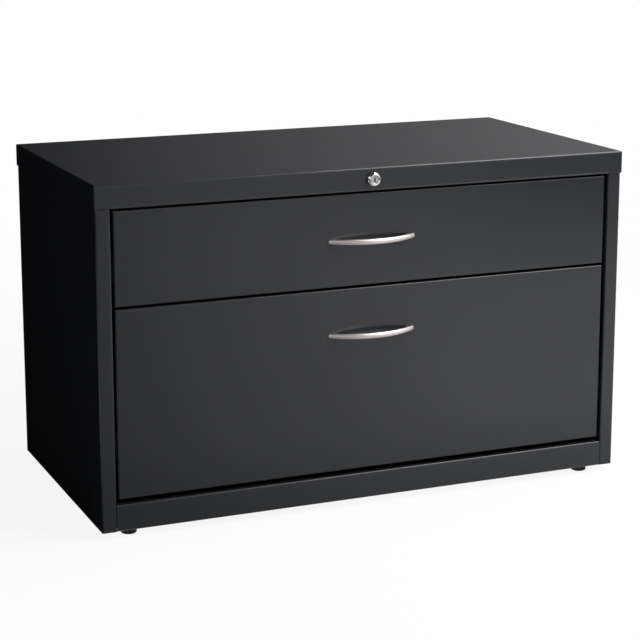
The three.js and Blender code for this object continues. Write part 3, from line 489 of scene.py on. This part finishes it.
def zinc_bloom_group():
    """The cloudy crystals of zinc plate."""
    tree, given, result = new_group("zinc_bloom", {"Crystals per metre": 240.0}, ["Tone"])
    place = surface_place(tree)
    cells = node(tree, "ShaderNodeTexVoronoi", Vector=place, Scale=given["Crystals per metre"])
    crystal = node(tree, "ShaderNodeSeparateColor", Color=cells.outputs["Color"]).outputs["Red"]
    clouds = noise(tree, place, CLOUDS_PER_METRE, detail=4.0)
    cloudy = maths(tree, "MULTIPLY", clouds, CLOUD_SHARE)
    tone = maths(tree, "MULTIPLY_ADD", crystal, CRYSTAL_SHARE, cloudy)
    tree.links.new(tone, result["Tone"])
    return tree


ORANGE_PEEL = orange_peel_group()
EDGE_RUB = edge_rub_group()
SETTLED_DUST = settled_dust_group()
HANDLING = handling_group()
DRAWN_LINES = drawn_lines_group()
ZINC_BLOOM = zinc_bloom_group()


# Finishes

def new_finish(name):
    """A new material, its tree and the inputs of the shader that it shows."""
    material = bpy.data.materials.new(name)
    tree = cleared_tree(material)
    shader = tree.nodes.new("ShaderNodeBsdfPrincipled")
    shown(tree, shader.outputs["BSDF"])
    return material, tree, shader.inputs


def bumped(tree, height, distance, rounding=None):
    """A normal with a fine relief, on edges that show rounded by a radius if one is given."""
    relief = node(tree, "ShaderNodeBump", Height=height, Distance=distance)
    if rounding:
        edge = node(tree, "ShaderNodeBevel", {"samples": BEND_SAMPLES}, Radius=rounding)
        tree.links.new(edge.outputs["Normal"], relief.inputs["Normal"])
    return relief.outputs["Normal"]


def charcoal_paint(name, ripples, roughness, dust, bend=BEND_RADIUS):
    """Satin charcoal powder coat over steel."""
    material, tree, shader = new_finish(name)
    peel = placed(tree, ORANGE_PEEL, Ripples_per_metre=ripples)
    rub = placed(tree, EDGE_RUB)["Mask"]
    smudge = placed(tree, HANDLING)["Mask"]
    film = placed(tree, SETTLED_DUST)["Mask"]
    coat = blended(tree, between(tree, peel["Drift"], *DRIFT_RANGE), PAINT_DARK, PAINT_LIGHT)
    rubbed = blended(tree, maths(tree, "MULTIPLY", rub, PAINT_RUB_SHARE), coat, PAINT_RUBBED)
    dusted = blended(tree, maths(tree, "MULTIPLY", film, dust), rubbed, DUST_COLOUR)
    tree.links.new(dusted, shader["Base Color"])
    dull = maths(tree, "MULTIPLY_ADD", film, DUST_ROUGHNESS * dust, roughness)
    smudged = maths(tree, "MULTIPLY_ADD", smudge, PAINT_SMUDGE_ROUGHNESS, dull)
    tree.links.new(smudged, shader["Roughness"])
    tree.links.new(bumped(tree, peel["Height"], PAINT_RELIEF, bend), shader["Normal"])
    return material


def zinc_plate(name, tint, roughness):
    """Bright zinc plate on rolled or pressed steel."""
    material, tree, shader = new_finish(name)
    bloom = placed(tree, ZINC_BLOOM)
    lines = placed(tree, DRAWN_LINES, Lines_per_metre=1400.0, Stretch=6.0)
    smudge = placed(tree, HANDLING, Smudges_per_metre=40.0)["Mask"]
    dark = tuple(ZINC_DARK_SHARE * part for part in tint) + (1,)
    tree.links.new(blended(tree, bloom["Tone"], dark, tint + (1,)), shader["Base Color"])
    smudged = maths(tree, "MULTIPLY_ADD", smudge, ZINC_SMUDGE_ROUGHNESS, roughness)
    bloomed = maths(tree, "MULTIPLY_ADD", bloom["Tone"], ZINC_BLOOM_ROUGHNESS, smudged)
    tree.links.new(bloomed, shader["Roughness"])
    shader["Metallic"].default_value = 1.0
    tree.links.new(bumped(tree, lines["Height"], ZINC_RELIEF), shader["Normal"])
    return material


def satin_nickel():
    """Brushed nickel plate on the handles, with a warm cast."""
    material, tree, shader = new_finish("satin_nickel")
    lines = placed(tree, DRAWN_LINES, Lines_per_metre=3600.0, Stretch=60.0)
    smudge = placed(tree, HANDLING, Smudges_per_metre=90.0)["Mask"]
    colour = blended(tree, lines["Tone"], NICKEL_DARK, NICKEL_LIGHT)
    tree.links.new(colour, shader["Base Color"])
    streaked = between(tree, lines["Height"], *LINE_RANGE, *NICKEL_ROUGHNESS)
    smudged = maths(tree, "MULTIPLY_ADD", smudge, NICKEL_SMUDGE_ROUGHNESS, streaked)
    tree.links.new(smudged, shader["Roughness"])
    shader["Metallic"].default_value = 1.0
    tree.links.new(bumped(tree, lines["Height"], NICKEL_RELIEF), shader["Normal"])
    return material


def lock_chrome():
    """Polished chrome with fine key scratches and smudges."""
    material, tree, shader = new_finish("lock_chrome")
    smudge = placed(tree, HANDLING, Smudges_per_metre=180.0)["Mask"]
    lines = placed(tree, DRAWN_LINES, Lines_per_metre=5200.0, Stretch=3.0)
    colour = blended(tree, lines["Tone"], CHROME_DARK, CHROME_LIGHT)
    tree.links.new(colour, shader["Base Color"])
    smudged = between(tree, smudge, *CHROME_SMUDGE_RANGE, *CHROME_ROUGHNESS)
    tree.links.new(smudged, shader["Roughness"])
    shader["Metallic"].default_value = 1.0
    tree.links.new(bumped(tree, lines["Height"], CHROME_RELIEF), shader["Normal"])
    return material


def keyway_painted_shade():
    """Painted shade on the walls of the key slot: a near-black colour that stands in for the shade
    inside it.
    """
    material, tree, shader = new_finish("keyway_painted_shade")
    shade_mottle = placed(tree, ORANGE_PEEL, Ripples_per_metre=2400.0, Drift_per_metre=700.0)
    # Painted shade: near-black colour for the shade that falls inside the key slot, lightly mottled
    colour = blended(tree, shade_mottle["Drift"], KEYWAY_SHADE_DARK, KEYWAY_SHADE_LIGHT)
    tree.links.new(colour, shader["Base Color"])
    mottled_roughness = between(tree, shade_mottle["Height"], *CRUST_RANGE, *KEYWAY_SHADE_ROUGHNESS)
    tree.links.new(mottled_roughness, shader["Roughness"])
    tree.links.new(bumped(tree, shade_mottle["Height"], KEYWAY_SHADE_RELIEF), shader["Normal"])
    return material


def black_nylon():
    """Moulded black plastic with a fine spark texture, scuffed where it drags."""
    material, tree, shader = new_finish("black_nylon")
    spark = placed(tree, ORANGE_PEEL, Ripples_per_metre=1800.0, Drift_per_metre=40.0)
    rub = placed(tree, EDGE_RUB, Breaks_per_metre=300.0)["Mask"]
    body = blended(tree, spark["Drift"], NYLON_DARK, NYLON_LIGHT)
    scuffed = blended(tree, maths(tree, "MULTIPLY", rub, NYLON_SCUFF_SHARE), body, NYLON_SCUFFED)
    tree.links.new(scuffed, shader["Base Color"])
    shader["Specular IOR Level"].default_value = NYLON_SPECULAR
    grained = between(tree, spark["Height"], *CRUST_RANGE, *NYLON_ROUGHNESS)
    tree.links.new(grained, shader["Roughness"])
    tree.links.new(bumped(tree, spark["Height"], NYLON_RELIEF), shader["Normal"])
    return material


def mill_scale():
    """Rolled steel with dark scale, thinly painted."""
    material, tree, shader = new_finish("mill_scale")
    scale = placed(tree, ORANGE_PEEL, Ripples_per_metre=160.0, Drift_per_metre=22.0)
    rub = placed(tree, EDGE_RUB, Breaks_per_metre=90.0)["Mask"]
    skin = blended(tree, scale["Drift"], SCALE_DARK, SCALE_LIGHT)
    worn = blended(tree, maths(tree, "MULTIPLY", rub, SCALE_WEAR_SHARE), skin, SCALE_WORN)
    tree.links.new(worn, shader["Base Color"])
    patchy = between(tree, scale["Drift"], *DRIFT_RANGE, *SCALE_ROUGHNESS)
    tree.links.new(patchy, shader["Roughness"])
    shader["Metallic"].default_value = SCALE_METALLIC
    tree.links.new(bumped(tree, scale["Height"], SCALE_RELIEF), shader["Normal"])
    return material


CASE_PAINT = charcoal_paint("case_paint", ripples=420.0, roughness=0.24, dust=0.02)
FOLD_PAINT = charcoal_paint(
    "fold_paint", ripples=420.0, roughness=0.24, dust=0.02, bend=FOLD_BEND_RADIUS)
DRAWER_PAINT = charcoal_paint("drawer_paint", ripples=400.0, roughness=0.20, dust=0.02)
INSIDE_PAINT = charcoal_paint("inside_paint", ripples=360.0, roughness=0.36, dust=0.10)
SLIDE_ZINC = zinc_plate("slide_zinc", tint=(0.62, 0.63, 0.65), roughness=0.26)
LINK_ZINC = zinc_plate("link_zinc", tint=(0.66, 0.64, 0.58), roughness=0.32)
HANDLE_NICKEL = satin_nickel()
LOCK_CHROME = lock_chrome()
KEYWAY_PAINTED_SHADE = keyway_painted_shade()
GLIDE_NYLON = black_nylon()
WEIGHT_STEEL = mill_scale()

FOLDED_PANELS = ("top_panel", "left_side_panel", "right_side_panel")
CASE_OUTSIDE = ("back_panel", "base_rail")
DRAWER_FACES = ("upper_drawer_face", "lower_drawer_face")
SLIDE_WORDS = ("_slide", "_cage")


def finish_of(name):
    """The finish of a node that is shown as it is."""
    if name in FOLDED_PANELS:
        return FOLD_PAINT
    if name in CASE_OUTSIDE:
        return CASE_PAINT
    if name in DRAWER_FACES:
        return DRAWER_PAINT
    if name == "counterweight":
        return WEIGHT_STEEL
    if name.endswith(SLIDE_WORDS):
        return SLIDE_ZINC
    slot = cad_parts[name].material_slots[0].material.name
    return LINK_ZINC if slot.startswith("zinc_steel") else INSIDE_PAINT


# Handles

def bowed_handle(drawer):
    """A bowed bar that thins towards its rounded ends, on two short posts."""
    low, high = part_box(f"{drawer}_handle")
    face_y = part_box(f"{drawer}_drawer_face")[0].y
    half_height = (high.z - low.z) / 2
    half_thickness = HANDLE_THICKNESS_SHARE * half_height
    depth = face_y - low.y - half_thickness
    radius = ((HANDLE_SPAN / 2) ** 2 + depth ** 2) / (2 * depth)
    centre = Vector((0, face_y + radius - depth, (low.z + high.z) / 2))
    sweep = math.asin(HANDLE_SPAN / 2 / radius) + HANDLE_NOSE_SUNK / radius

    def build(made):
        rings = []
        for i in range(1, HANDLE_RINGS):
            angle = sweep * (2 * i / HANDLE_RINGS - 1)
            size = bar_size(abs(angle), sweep, radius)
            section = bar_ring(made, centre, radius, angle, half_height * size, half_thickness * size)
            rings.append(section)
        join(made, rings)
        cut_at_face(made, face_y - SEAM_GAP)
        for x in (-HANDLE_POST_CENTRES / 2, HANDLE_POST_CENTRES / 2):
            bar_y = centre.y - math.sqrt(radius ** 2 - x ** 2)
            tip = (HANDLE_POST_TAPER * HANDLE_POST_RADIUS, bar_y)
            foot = (HANDLE_POST_RADIUS, face_y - SEAM_GAP)
            join(made, turned(made, [tip, foot], HANDLE_SIDES, along_y(Vector((x, 0, centre.z)))))

    piece = piece_from(f"{drawer}_bow", build, [HANDLE_NICKEL], f"{drawer}_drawer")
    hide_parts(f"{drawer}_handle")


def bar_size(angle, sweep, radius):
    """How full the bar is at an angle from its middle: it thins slowly, then rounds off."""
    taper = 1 - (1 - HANDLE_END_SHARE) * (angle / sweep) ** 2
    into_nose = max(0, 1 - (sweep - angle) * radius / HANDLE_NOSE)
    return taper * math.sqrt(1 - into_nose ** 2)


def bar_ring(made, centre, radius, angle, half_height, half_thickness):
    """One oval section of the bow."""
    outward = Vector((math.sin(angle), -math.cos(angle), 0))
    middle = centre + radius * outward
    points = []
    for around in angles(HANDLE_SIDES):
        up = Vector((0, 0, half_height * math.sin(around)))
        points.append(middle + half_thickness * math.cos(around) * outward + up)
    return ring(made, points)


def cut_at_face(made, y):
    """Cuts the bar's ends off flat, just before the drawer face."""
    everything = made.verts[:] + made.edges[:] + made.faces[:]
    cut = bmesh.ops.bisect_plane(
        made, geom=everything, plane_co=(0, y, 0), plane_no=(0, 1, 0), clear_outer=True)
    edges = [part for part in cut["geom_cut"] if isinstance(part, bmesh.types.BMEdge)]
    bmesh.ops.edgeloop_fill(made, edges=edges)


# Lock

def lock_axis():
    """A point on the lock's axis, which runs along Y."""
    low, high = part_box("lock_housing")
    return Vector((0, 0, (low.z + high.z) / 2))


def box_radius(name):
    """The radius of a round node."""
    low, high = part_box(name)
    return (high.x - low.x) / 2


def lock_bezel():
    """The lock's domed head with a flat front round the plug, and its barrel."""
    low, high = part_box("lock_housing")
    outer = box_radius("lock_housing")
    bore = box_radius("lock_plug") + SEAM_GAP
    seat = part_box("top_panel")[0].y - SEAM_GAP
    flat = LOCK_FLAT_SHARE * outer
    dome = [
        (flat + (outer - flat) * across, low.y + LOCK_DOME_DEPTH * (1 + back))
        for across, back in arc((0, 0), 1, -90, 0, LOCK_DOME_STEPS)
    ]
    profile = [
        (bore, low.y + LOCK_LIP), (bore + LOCK_LIP, low.y), *dome, (outer, seat),
        (LOCK_BARREL_RADIUS, seat), (LOCK_BARREL_RADIUS, high.y), (bore, high.y),
    ]

    def build(made):
        rings = turned(made, profile, LOCK_SIDES, along_y(lock_axis()))
        join(made, rings + rings[:1], ends=False)

    piece = piece_from("lock_bezel", build, [LOCK_CHROME], "case")
    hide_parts("lock_housing")


def keyway_outline(y, flare=0):
    """The key slot at a depth, with a ward on one side. Its mouth flares to lead the key in."""
    half = KEYWAY_WIDTH / 2 + flare
    top = KEYWAY_HEIGHT / 2 + flare
    outline = [
        (-half, -top), (half, -top), (half, -KEYWAY_WARD), (half - KEYWAY_WARD, 0),
        (half - KEYWAY_WARD, KEYWAY_WARD), (half, 2 * KEYWAY_WARD), (half, top), (-half, top),
    ]
    return [lock_axis() + Vector((x, y, z)) for x, z in outline]


def key_plug():
    """The turning plug, with an open key slot in its face."""
    low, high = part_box("lock_plug")
    radius = box_radius("lock_plug")
    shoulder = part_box("lock_housing")[1].y
    profile = [
        (radius - PLUG_EDGE, low.y), (radius, low.y + PLUG_EDGE), (radius, shoulder),
        (PLUG_STUB_RADIUS, shoulder), (PLUG_STUB_RADIUS, high.y),
    ]

    def build(made):
        rings = turned(made, profile, LOCK_SIDES, along_y(lock_axis()))
        join(made, rings, ends=False)
        made.faces.new(rings[-1])
        mouth = ring(made, keyway_outline(low.y, KEYWAY_FLARE))
        throat = ring(made, keyway_outline(low.y + KEYWAY_FLARE))
        bottom = ring(made, keyway_outline(low.y + KEYWAY_DEPTH))
        walls = bridge(made, mouth, throat) + bridge(made, throat, bottom)
        # The slot's walls and bottom take the second finish, which paints the slot's shade near-black
        for inside in [*walls, made.faces.new(bottom)]:
            inside.material_index = 1
        edges = loop_edges(made, rings[0]) + loop_edges(made, mouth)
        bmesh.ops.triangle_fill(made, edges=edges, use_beauty=True)

    piece = piece_from("key_plug", build, [LOCK_CHROME, KEYWAY_PAINTED_SHADE], "lock_core")
    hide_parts("lock_plug")


def loop_edges(made, loop):
    """The edges that join the points of a closed ring."""
    following = loop[1:] + loop[:1]
    return [made.edges.get(pair) or made.edges.new(pair) for pair in zip(loop, following)]


# Glides

def glide_foot(name):
    """A moulded foot with rolled edges, and its threaded stem."""
    low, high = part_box(name)
    centre = Vector(((low.x + high.x) / 2, (low.y + high.y) / 2, 0))
    inner = box_radius(name) - GLIDE_EDGE
    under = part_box("base_pan")[0].z - SEAM_GAP
    lower = arc((inner, low.z + GLIDE_EDGE), GLIDE_EDGE, -90, 0, GLIDE_EDGE_STEPS)
    upper = arc((inner, low.z + GLIDE_DISC_HEIGHT - GLIDE_EDGE), GLIDE_EDGE, 0, 90, GLIDE_EDGE_STEPS)
    collar = [(GLIDE_COLLAR_RADIUS, low.z + GLIDE_DISC_HEIGHT), (GLIDE_COLLAR_RADIUS, under)]

    def build_foot(made):
        join(made, turned(made, [*lower, *upper, *collar], GLIDE_SIDES, along_z(centre)))

    def build_stem(made):
        screw_thread(made, centre, low.z + GLIDE_DISC_HEIGHT, high.z)

    foot = piece_from(f"{name}_foot", build_foot, [GLIDE_NYLON], name)
    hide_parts(name)
    piece_from(f"{name}_stem", build_stem, [LINK_ZINC], name)


def screw_thread(made, centre, bottom, top):
    """A threaded rod: a ridge that climbs one pitch in each turn."""
    count = round((top - bottom) / THREAD_PITCH * THREAD_RINGS_PER_TURN)
    place = along_z(centre)
    rings = []
    for i in range(count + 1):
        z = bottom + (top - bottom) * i / count
        points = []
        for around in angles(THREAD_SIDES):
            share = (z / THREAD_PITCH - around / (2 * math.pi)) % 1
            radius = GLIDE_STEM_RADIUS - THREAD_DEPTH * abs(2 * share - 1)
            points.append(place(radius, around, z))
        rings.append(ring(made, points))
    join(made, rings)


# Spot welds

def back_spot_welds():
    """Two rows of weld buttons, where the back panel is welded to the returns of the sides."""
    low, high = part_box("back_panel")
    row = high.z - low.z - 2 * WELD_END_INSET
    count = round(row / WELD_PITCH)
    step = row / count
    crown = (WELD_CROWN_SHARE * WELD_RADIUS, WELD_RISE)
    dish = (WELD_DISH_SHARE * WELD_RADIUS, WELD_DISH)
    profile = [(WELD_RADIUS, 0), crown, dish]

    def build(made):
        for x in (low.x + WELD_EDGE_INSET, high.x - WELD_EDGE_INSET):
            for i in range(count + 1):
                centre = Vector((x, high.y, low.z + WELD_END_INSET + step * i))
                join(made, turned(made, profile, WELD_SIDES, along_y(centre)))

    piece_from("back_spot_welds", build, [CASE_PAINT], "case")


# Studio

def seen_directly(tree):
    """1 for rays that show the background: from the camera, a reflection or through glass."""
    path = node(tree, "ShaderNodeLightPath").outputs
    mirrored = maths(tree, "MAXIMUM", path["Is Glossy Ray"], path["Is Transmission Ray"])
    return maths(tree, "MAXIMUM", path["Is Camera Ray"], mirrored)


def white_world():
    """A white background that lights the object only a little."""
    world = bpy.data.worlds.new("studio")
    bpy.context.scene.world = world
    tree = cleared_tree(world)
    level = between(tree, seen_directly(tree), 0.0, 1.0, to_low=AMBIENT_LEVEL)
    light = node(tree, "ShaderNodeBackground", Color=(1, 1, 1, 1), Strength=level)
    shown(tree, light.outputs["Background"], "ShaderNodeOutputWorld")


def floor_whiteness(tree):
    """How white the floor shows: fully far away, less near the object, where its shadow falls."""
    place = surface_place(tree)
    away = node(tree, "ShaderNodeVectorMath", {"operation": "LENGTH"}, Vector=place).outputs["Value"]
    return between(tree, away, FLOOR_SHADE_REACH, FLOOR_WHITE_REACH, to_low=FLOOR_WHITE_NEAR)


def floor_finish():
    """A pale floor that shows white and keeps a soft shadow."""
    material = bpy.data.materials.new("pale_floor")
    tree = cleared_tree(material)
    paint = node(tree, "ShaderNodeBsdfDiffuse", Color=(FLOOR_GREY, FLOOR_GREY, FLOOR_GREY, 1))
    glow = node(tree, "ShaderNodeEmission", Color=(1, 1, 1, 1), Strength=1.0)
    share = maths(tree, "MULTIPLY", seen_directly(tree), floor_whiteness(tree))
    shown(tree, mixed_shader(tree, share, paint.outputs["BSDF"], glow.outputs["Emission"]))
    return material


def flat_mesh(name, corner, across, up):
    """A four-sided sheet that spans two directions from a corner."""
    mesh = bpy.data.meshes.new(name)
    mesh.from_pydata([corner, corner + across, corner + across + up, corner + up], [], [(0, 1, 2, 3)])
    return mesh


def studio_floor():
    """A floor that reaches past the horizon of every view."""
    corner = Vector((-FLOOR_HALF, -FLOOR_HALF, 0))
    mesh = flat_mesh("floor", corner, Vector((2 * FLOOR_HALF, 0, 0)), Vector((0, 2 * FLOOR_HALF, 0)))
    mesh.materials.append(floor_finish())
    floor = add_object("floor", mesh)
    floor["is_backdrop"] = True


def card_finish(name, density, fade):
    """Black cloth, whose density changes between two shares of the way across its card."""
    material = bpy.data.materials.new(name)
    tree = cleared_tree(material)
    across = node(tree, "ShaderNodeTexCoord").outputs["UV"]
    share = node(tree, "ShaderNodeSeparateXYZ", Vector=across).outputs["X"]
    cloth = node(tree, "ShaderNodeBsdfDiffuse", Color=(0, 0, 0, 1))
    open_air = tree.nodes.new("ShaderNodeBsdfTransparent")
    covered = between(tree, share, *fade, *density)
    shown(tree, mixed_shader(tree, covered, open_air.outputs["BSDF"], cloth.outputs["BSDF"]))
    return material


def shade_card(name, corner, across, up, density, fade=(0, 1)):
    """A cloth card that only shows in reflections. Its density runs from a first value to a last
    one, between the two shares of the way across it that fade gives."""
    mesh = flat_mesh(name, Vector(corner), Vector(across), Vector(up))
    shares = mesh.uv_layers.new(name="share").data
    for loop, place in zip(shares, ((0, 0), (1, 0), (1, 1), (0, 1))):
        loop.uv = place
    mesh.materials.append(card_finish(name, density, fade))
    card = add_object(name, mesh)
    card.visible_camera = False
    card.visible_diffuse = False
    card.visible_shadow = False
    card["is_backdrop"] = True


def softbox(name, place, target, width, height, power, mirrored=True):
    """A soft lamp. One that is not mirrored lights the surfaces but shows in no reflection."""
    lamp = bpy.data.lights.new(name, "AREA")
    lamp.shape = "RECTANGLE"
    lamp.size = width
    lamp.size_y = height
    lamp.energy = power
    holder = add_object(name, lamp)
    holder.location = place
    aim = Vector(target) - Vector(place)
    holder.rotation_euler = aim.to_track_quat("-Z", "Y").to_euler()
    holder.visible_glossy = mirrored


def studio_camera():
    """The camera of the photograph's view."""
    lens = bpy.data.cameras.new("camera")
    lens.sensor_width = SENSOR_WIDTH
    lens.lens = CAMERA_FOCUS_PIXELS / FRAME_PIXELS * SENSOR_WIDTH
    lens.shift_y = CAMERA_SHIFT_Y
    camera = add_object("camera", lens)
    camera.location = CAMERA_PLACE
    camera.rotation_euler = (math.pi / 2 - CAMERA_DIP, 0, CAMERA_TURN)
    bpy.context.scene.camera = camera


def standing_cards():
    """Cards that stand or hang: the left side, the back of the room and the ceiling show dark."""
    shade_card(
        "side_card", corner=(-0.455, 0.30, CLOTH_LAYER), across=(-2.5, 0, 0), up=(0, 0, 1.2),
        density=EVEN_DENSITY)
    shade_card(
        "rear_card", corner=(-3.0, 3.2, 2 * CLOTH_LAYER), across=(6.5, 0, 0), up=(0, 0.3, 4.5),
        density=(0.985, 0.72), fade=(0.49, 0.86))
    shade_card(
        "ceiling_card", corner=(-3.0, -1.6, 2.6), across=(6.0, 0, 0), up=(0, 4.2, 0),
        density=(0.97, 0.8))
    shade_card(
        "porch_card", corner=(-3.0, -14.0, 3.2), across=(4.0, 0, 0), up=(0, 12.4, 0),
        density=(0.97, 0.97))
    shade_card(
        "left_card", corner=(-5.0, 2.0, 0), across=(0, -8.0, 0), up=(0, 0, 1.2),
        density=EVEN_DENSITY)


def floor_cloths():
    """Cloths that lie on the floor in layers: the paint shows darker to the left and far away."""
    shade_card(
        "side_cloth", corner=(-0.455, 0.32, 2 * CLOTH_LAYER), across=(-0.5, 0, 0), up=(0, -0.62, 0),
        density=EVEN_DENSITY)
    shade_card(
        "front_cloth", corner=(-0.75, -0.35, 2 * CLOTH_LAYER), across=(1.02, 0.33, 0),
        up=(0.8, -3.3, 0), density=(0.98, 0.0))
    shade_card(
        "far_cloth", corner=(1.01, -2.62, 3 * CLOTH_LAYER), across=(5.28, 2.84, 0),
        up=(4.27, -7.92, 0), density=(0.0, 1.0), fade=(0.0, 0.12))
    shade_card(
        "left_cloth", corner=(-2.7, 1.0, 2 * CLOTH_LAYER), across=(-4.3, 0, 0), up=(0, -2.2, 0),
        density=EVEN_DENSITY)
    shade_card(
        "near_cloth", corner=(-0.55, -0.9, 2.5 * CLOTH_LAYER), across=(-6.45, 0, 0), up=(0, -5.3, 0),
        density=EVEN_DENSITY)
    shade_card(
        "horizon_cloth", corner=(-8.0, -2.5, 5 * CLOTH_LAYER), across=(0, -9.0, 0), up=(16.0, 0, 0),
        density=(0.0, 0.5), fade=(0.0, 0.1))
    shade_card(
        "base_cloth", corner=(-0.6, -0.235, 4 * CLOTH_LAYER), across=(0, -0.4, 0), up=(1.4, 0, 0),
        density=(0.4, 0.0))


def studio_lamps():
    """A key lamp from the right front, one overhead and a strip that draws the drawers' edges."""
    softbox(
        "key", place=(2.4, -2.6, 2.0), target=(0.2, 0, 0.3), width=1.8, height=1.8, power=78,
        mirrored=False)
    softbox(
        "overhead", place=(1.5, -0.45, 2.4), target=(1.5, -0.45, 0.5), width=1.5, height=1.8, power=75)
    softbox(
        "strip", place=(2.06, -2.25, 2.86), target=(0.2, -0.2, 0.5), width=1.2, height=1.6, power=40)


studio_camera()
white_world()
studio_floor()
standing_cards()
floor_cloths()
studio_lamps()

for drawer in ("upper", "lower"):
    bowed_handle(drawer)
lock_bezel()
key_plug()
for glide in [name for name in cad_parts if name.endswith("_glide")]:
    glide_foot(glide)
back_spot_welds()
for name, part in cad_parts.items():
    if not part.hide_render:
        part.material_slots[0].material = finish_of(name)

bpy.context.scene.view_settings.view_transform = "Standard"

boxes = {"cad": CAD_BOX, "visual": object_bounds()}
{name: [list(corner) for corner in box] for name, box in boxes.items()}
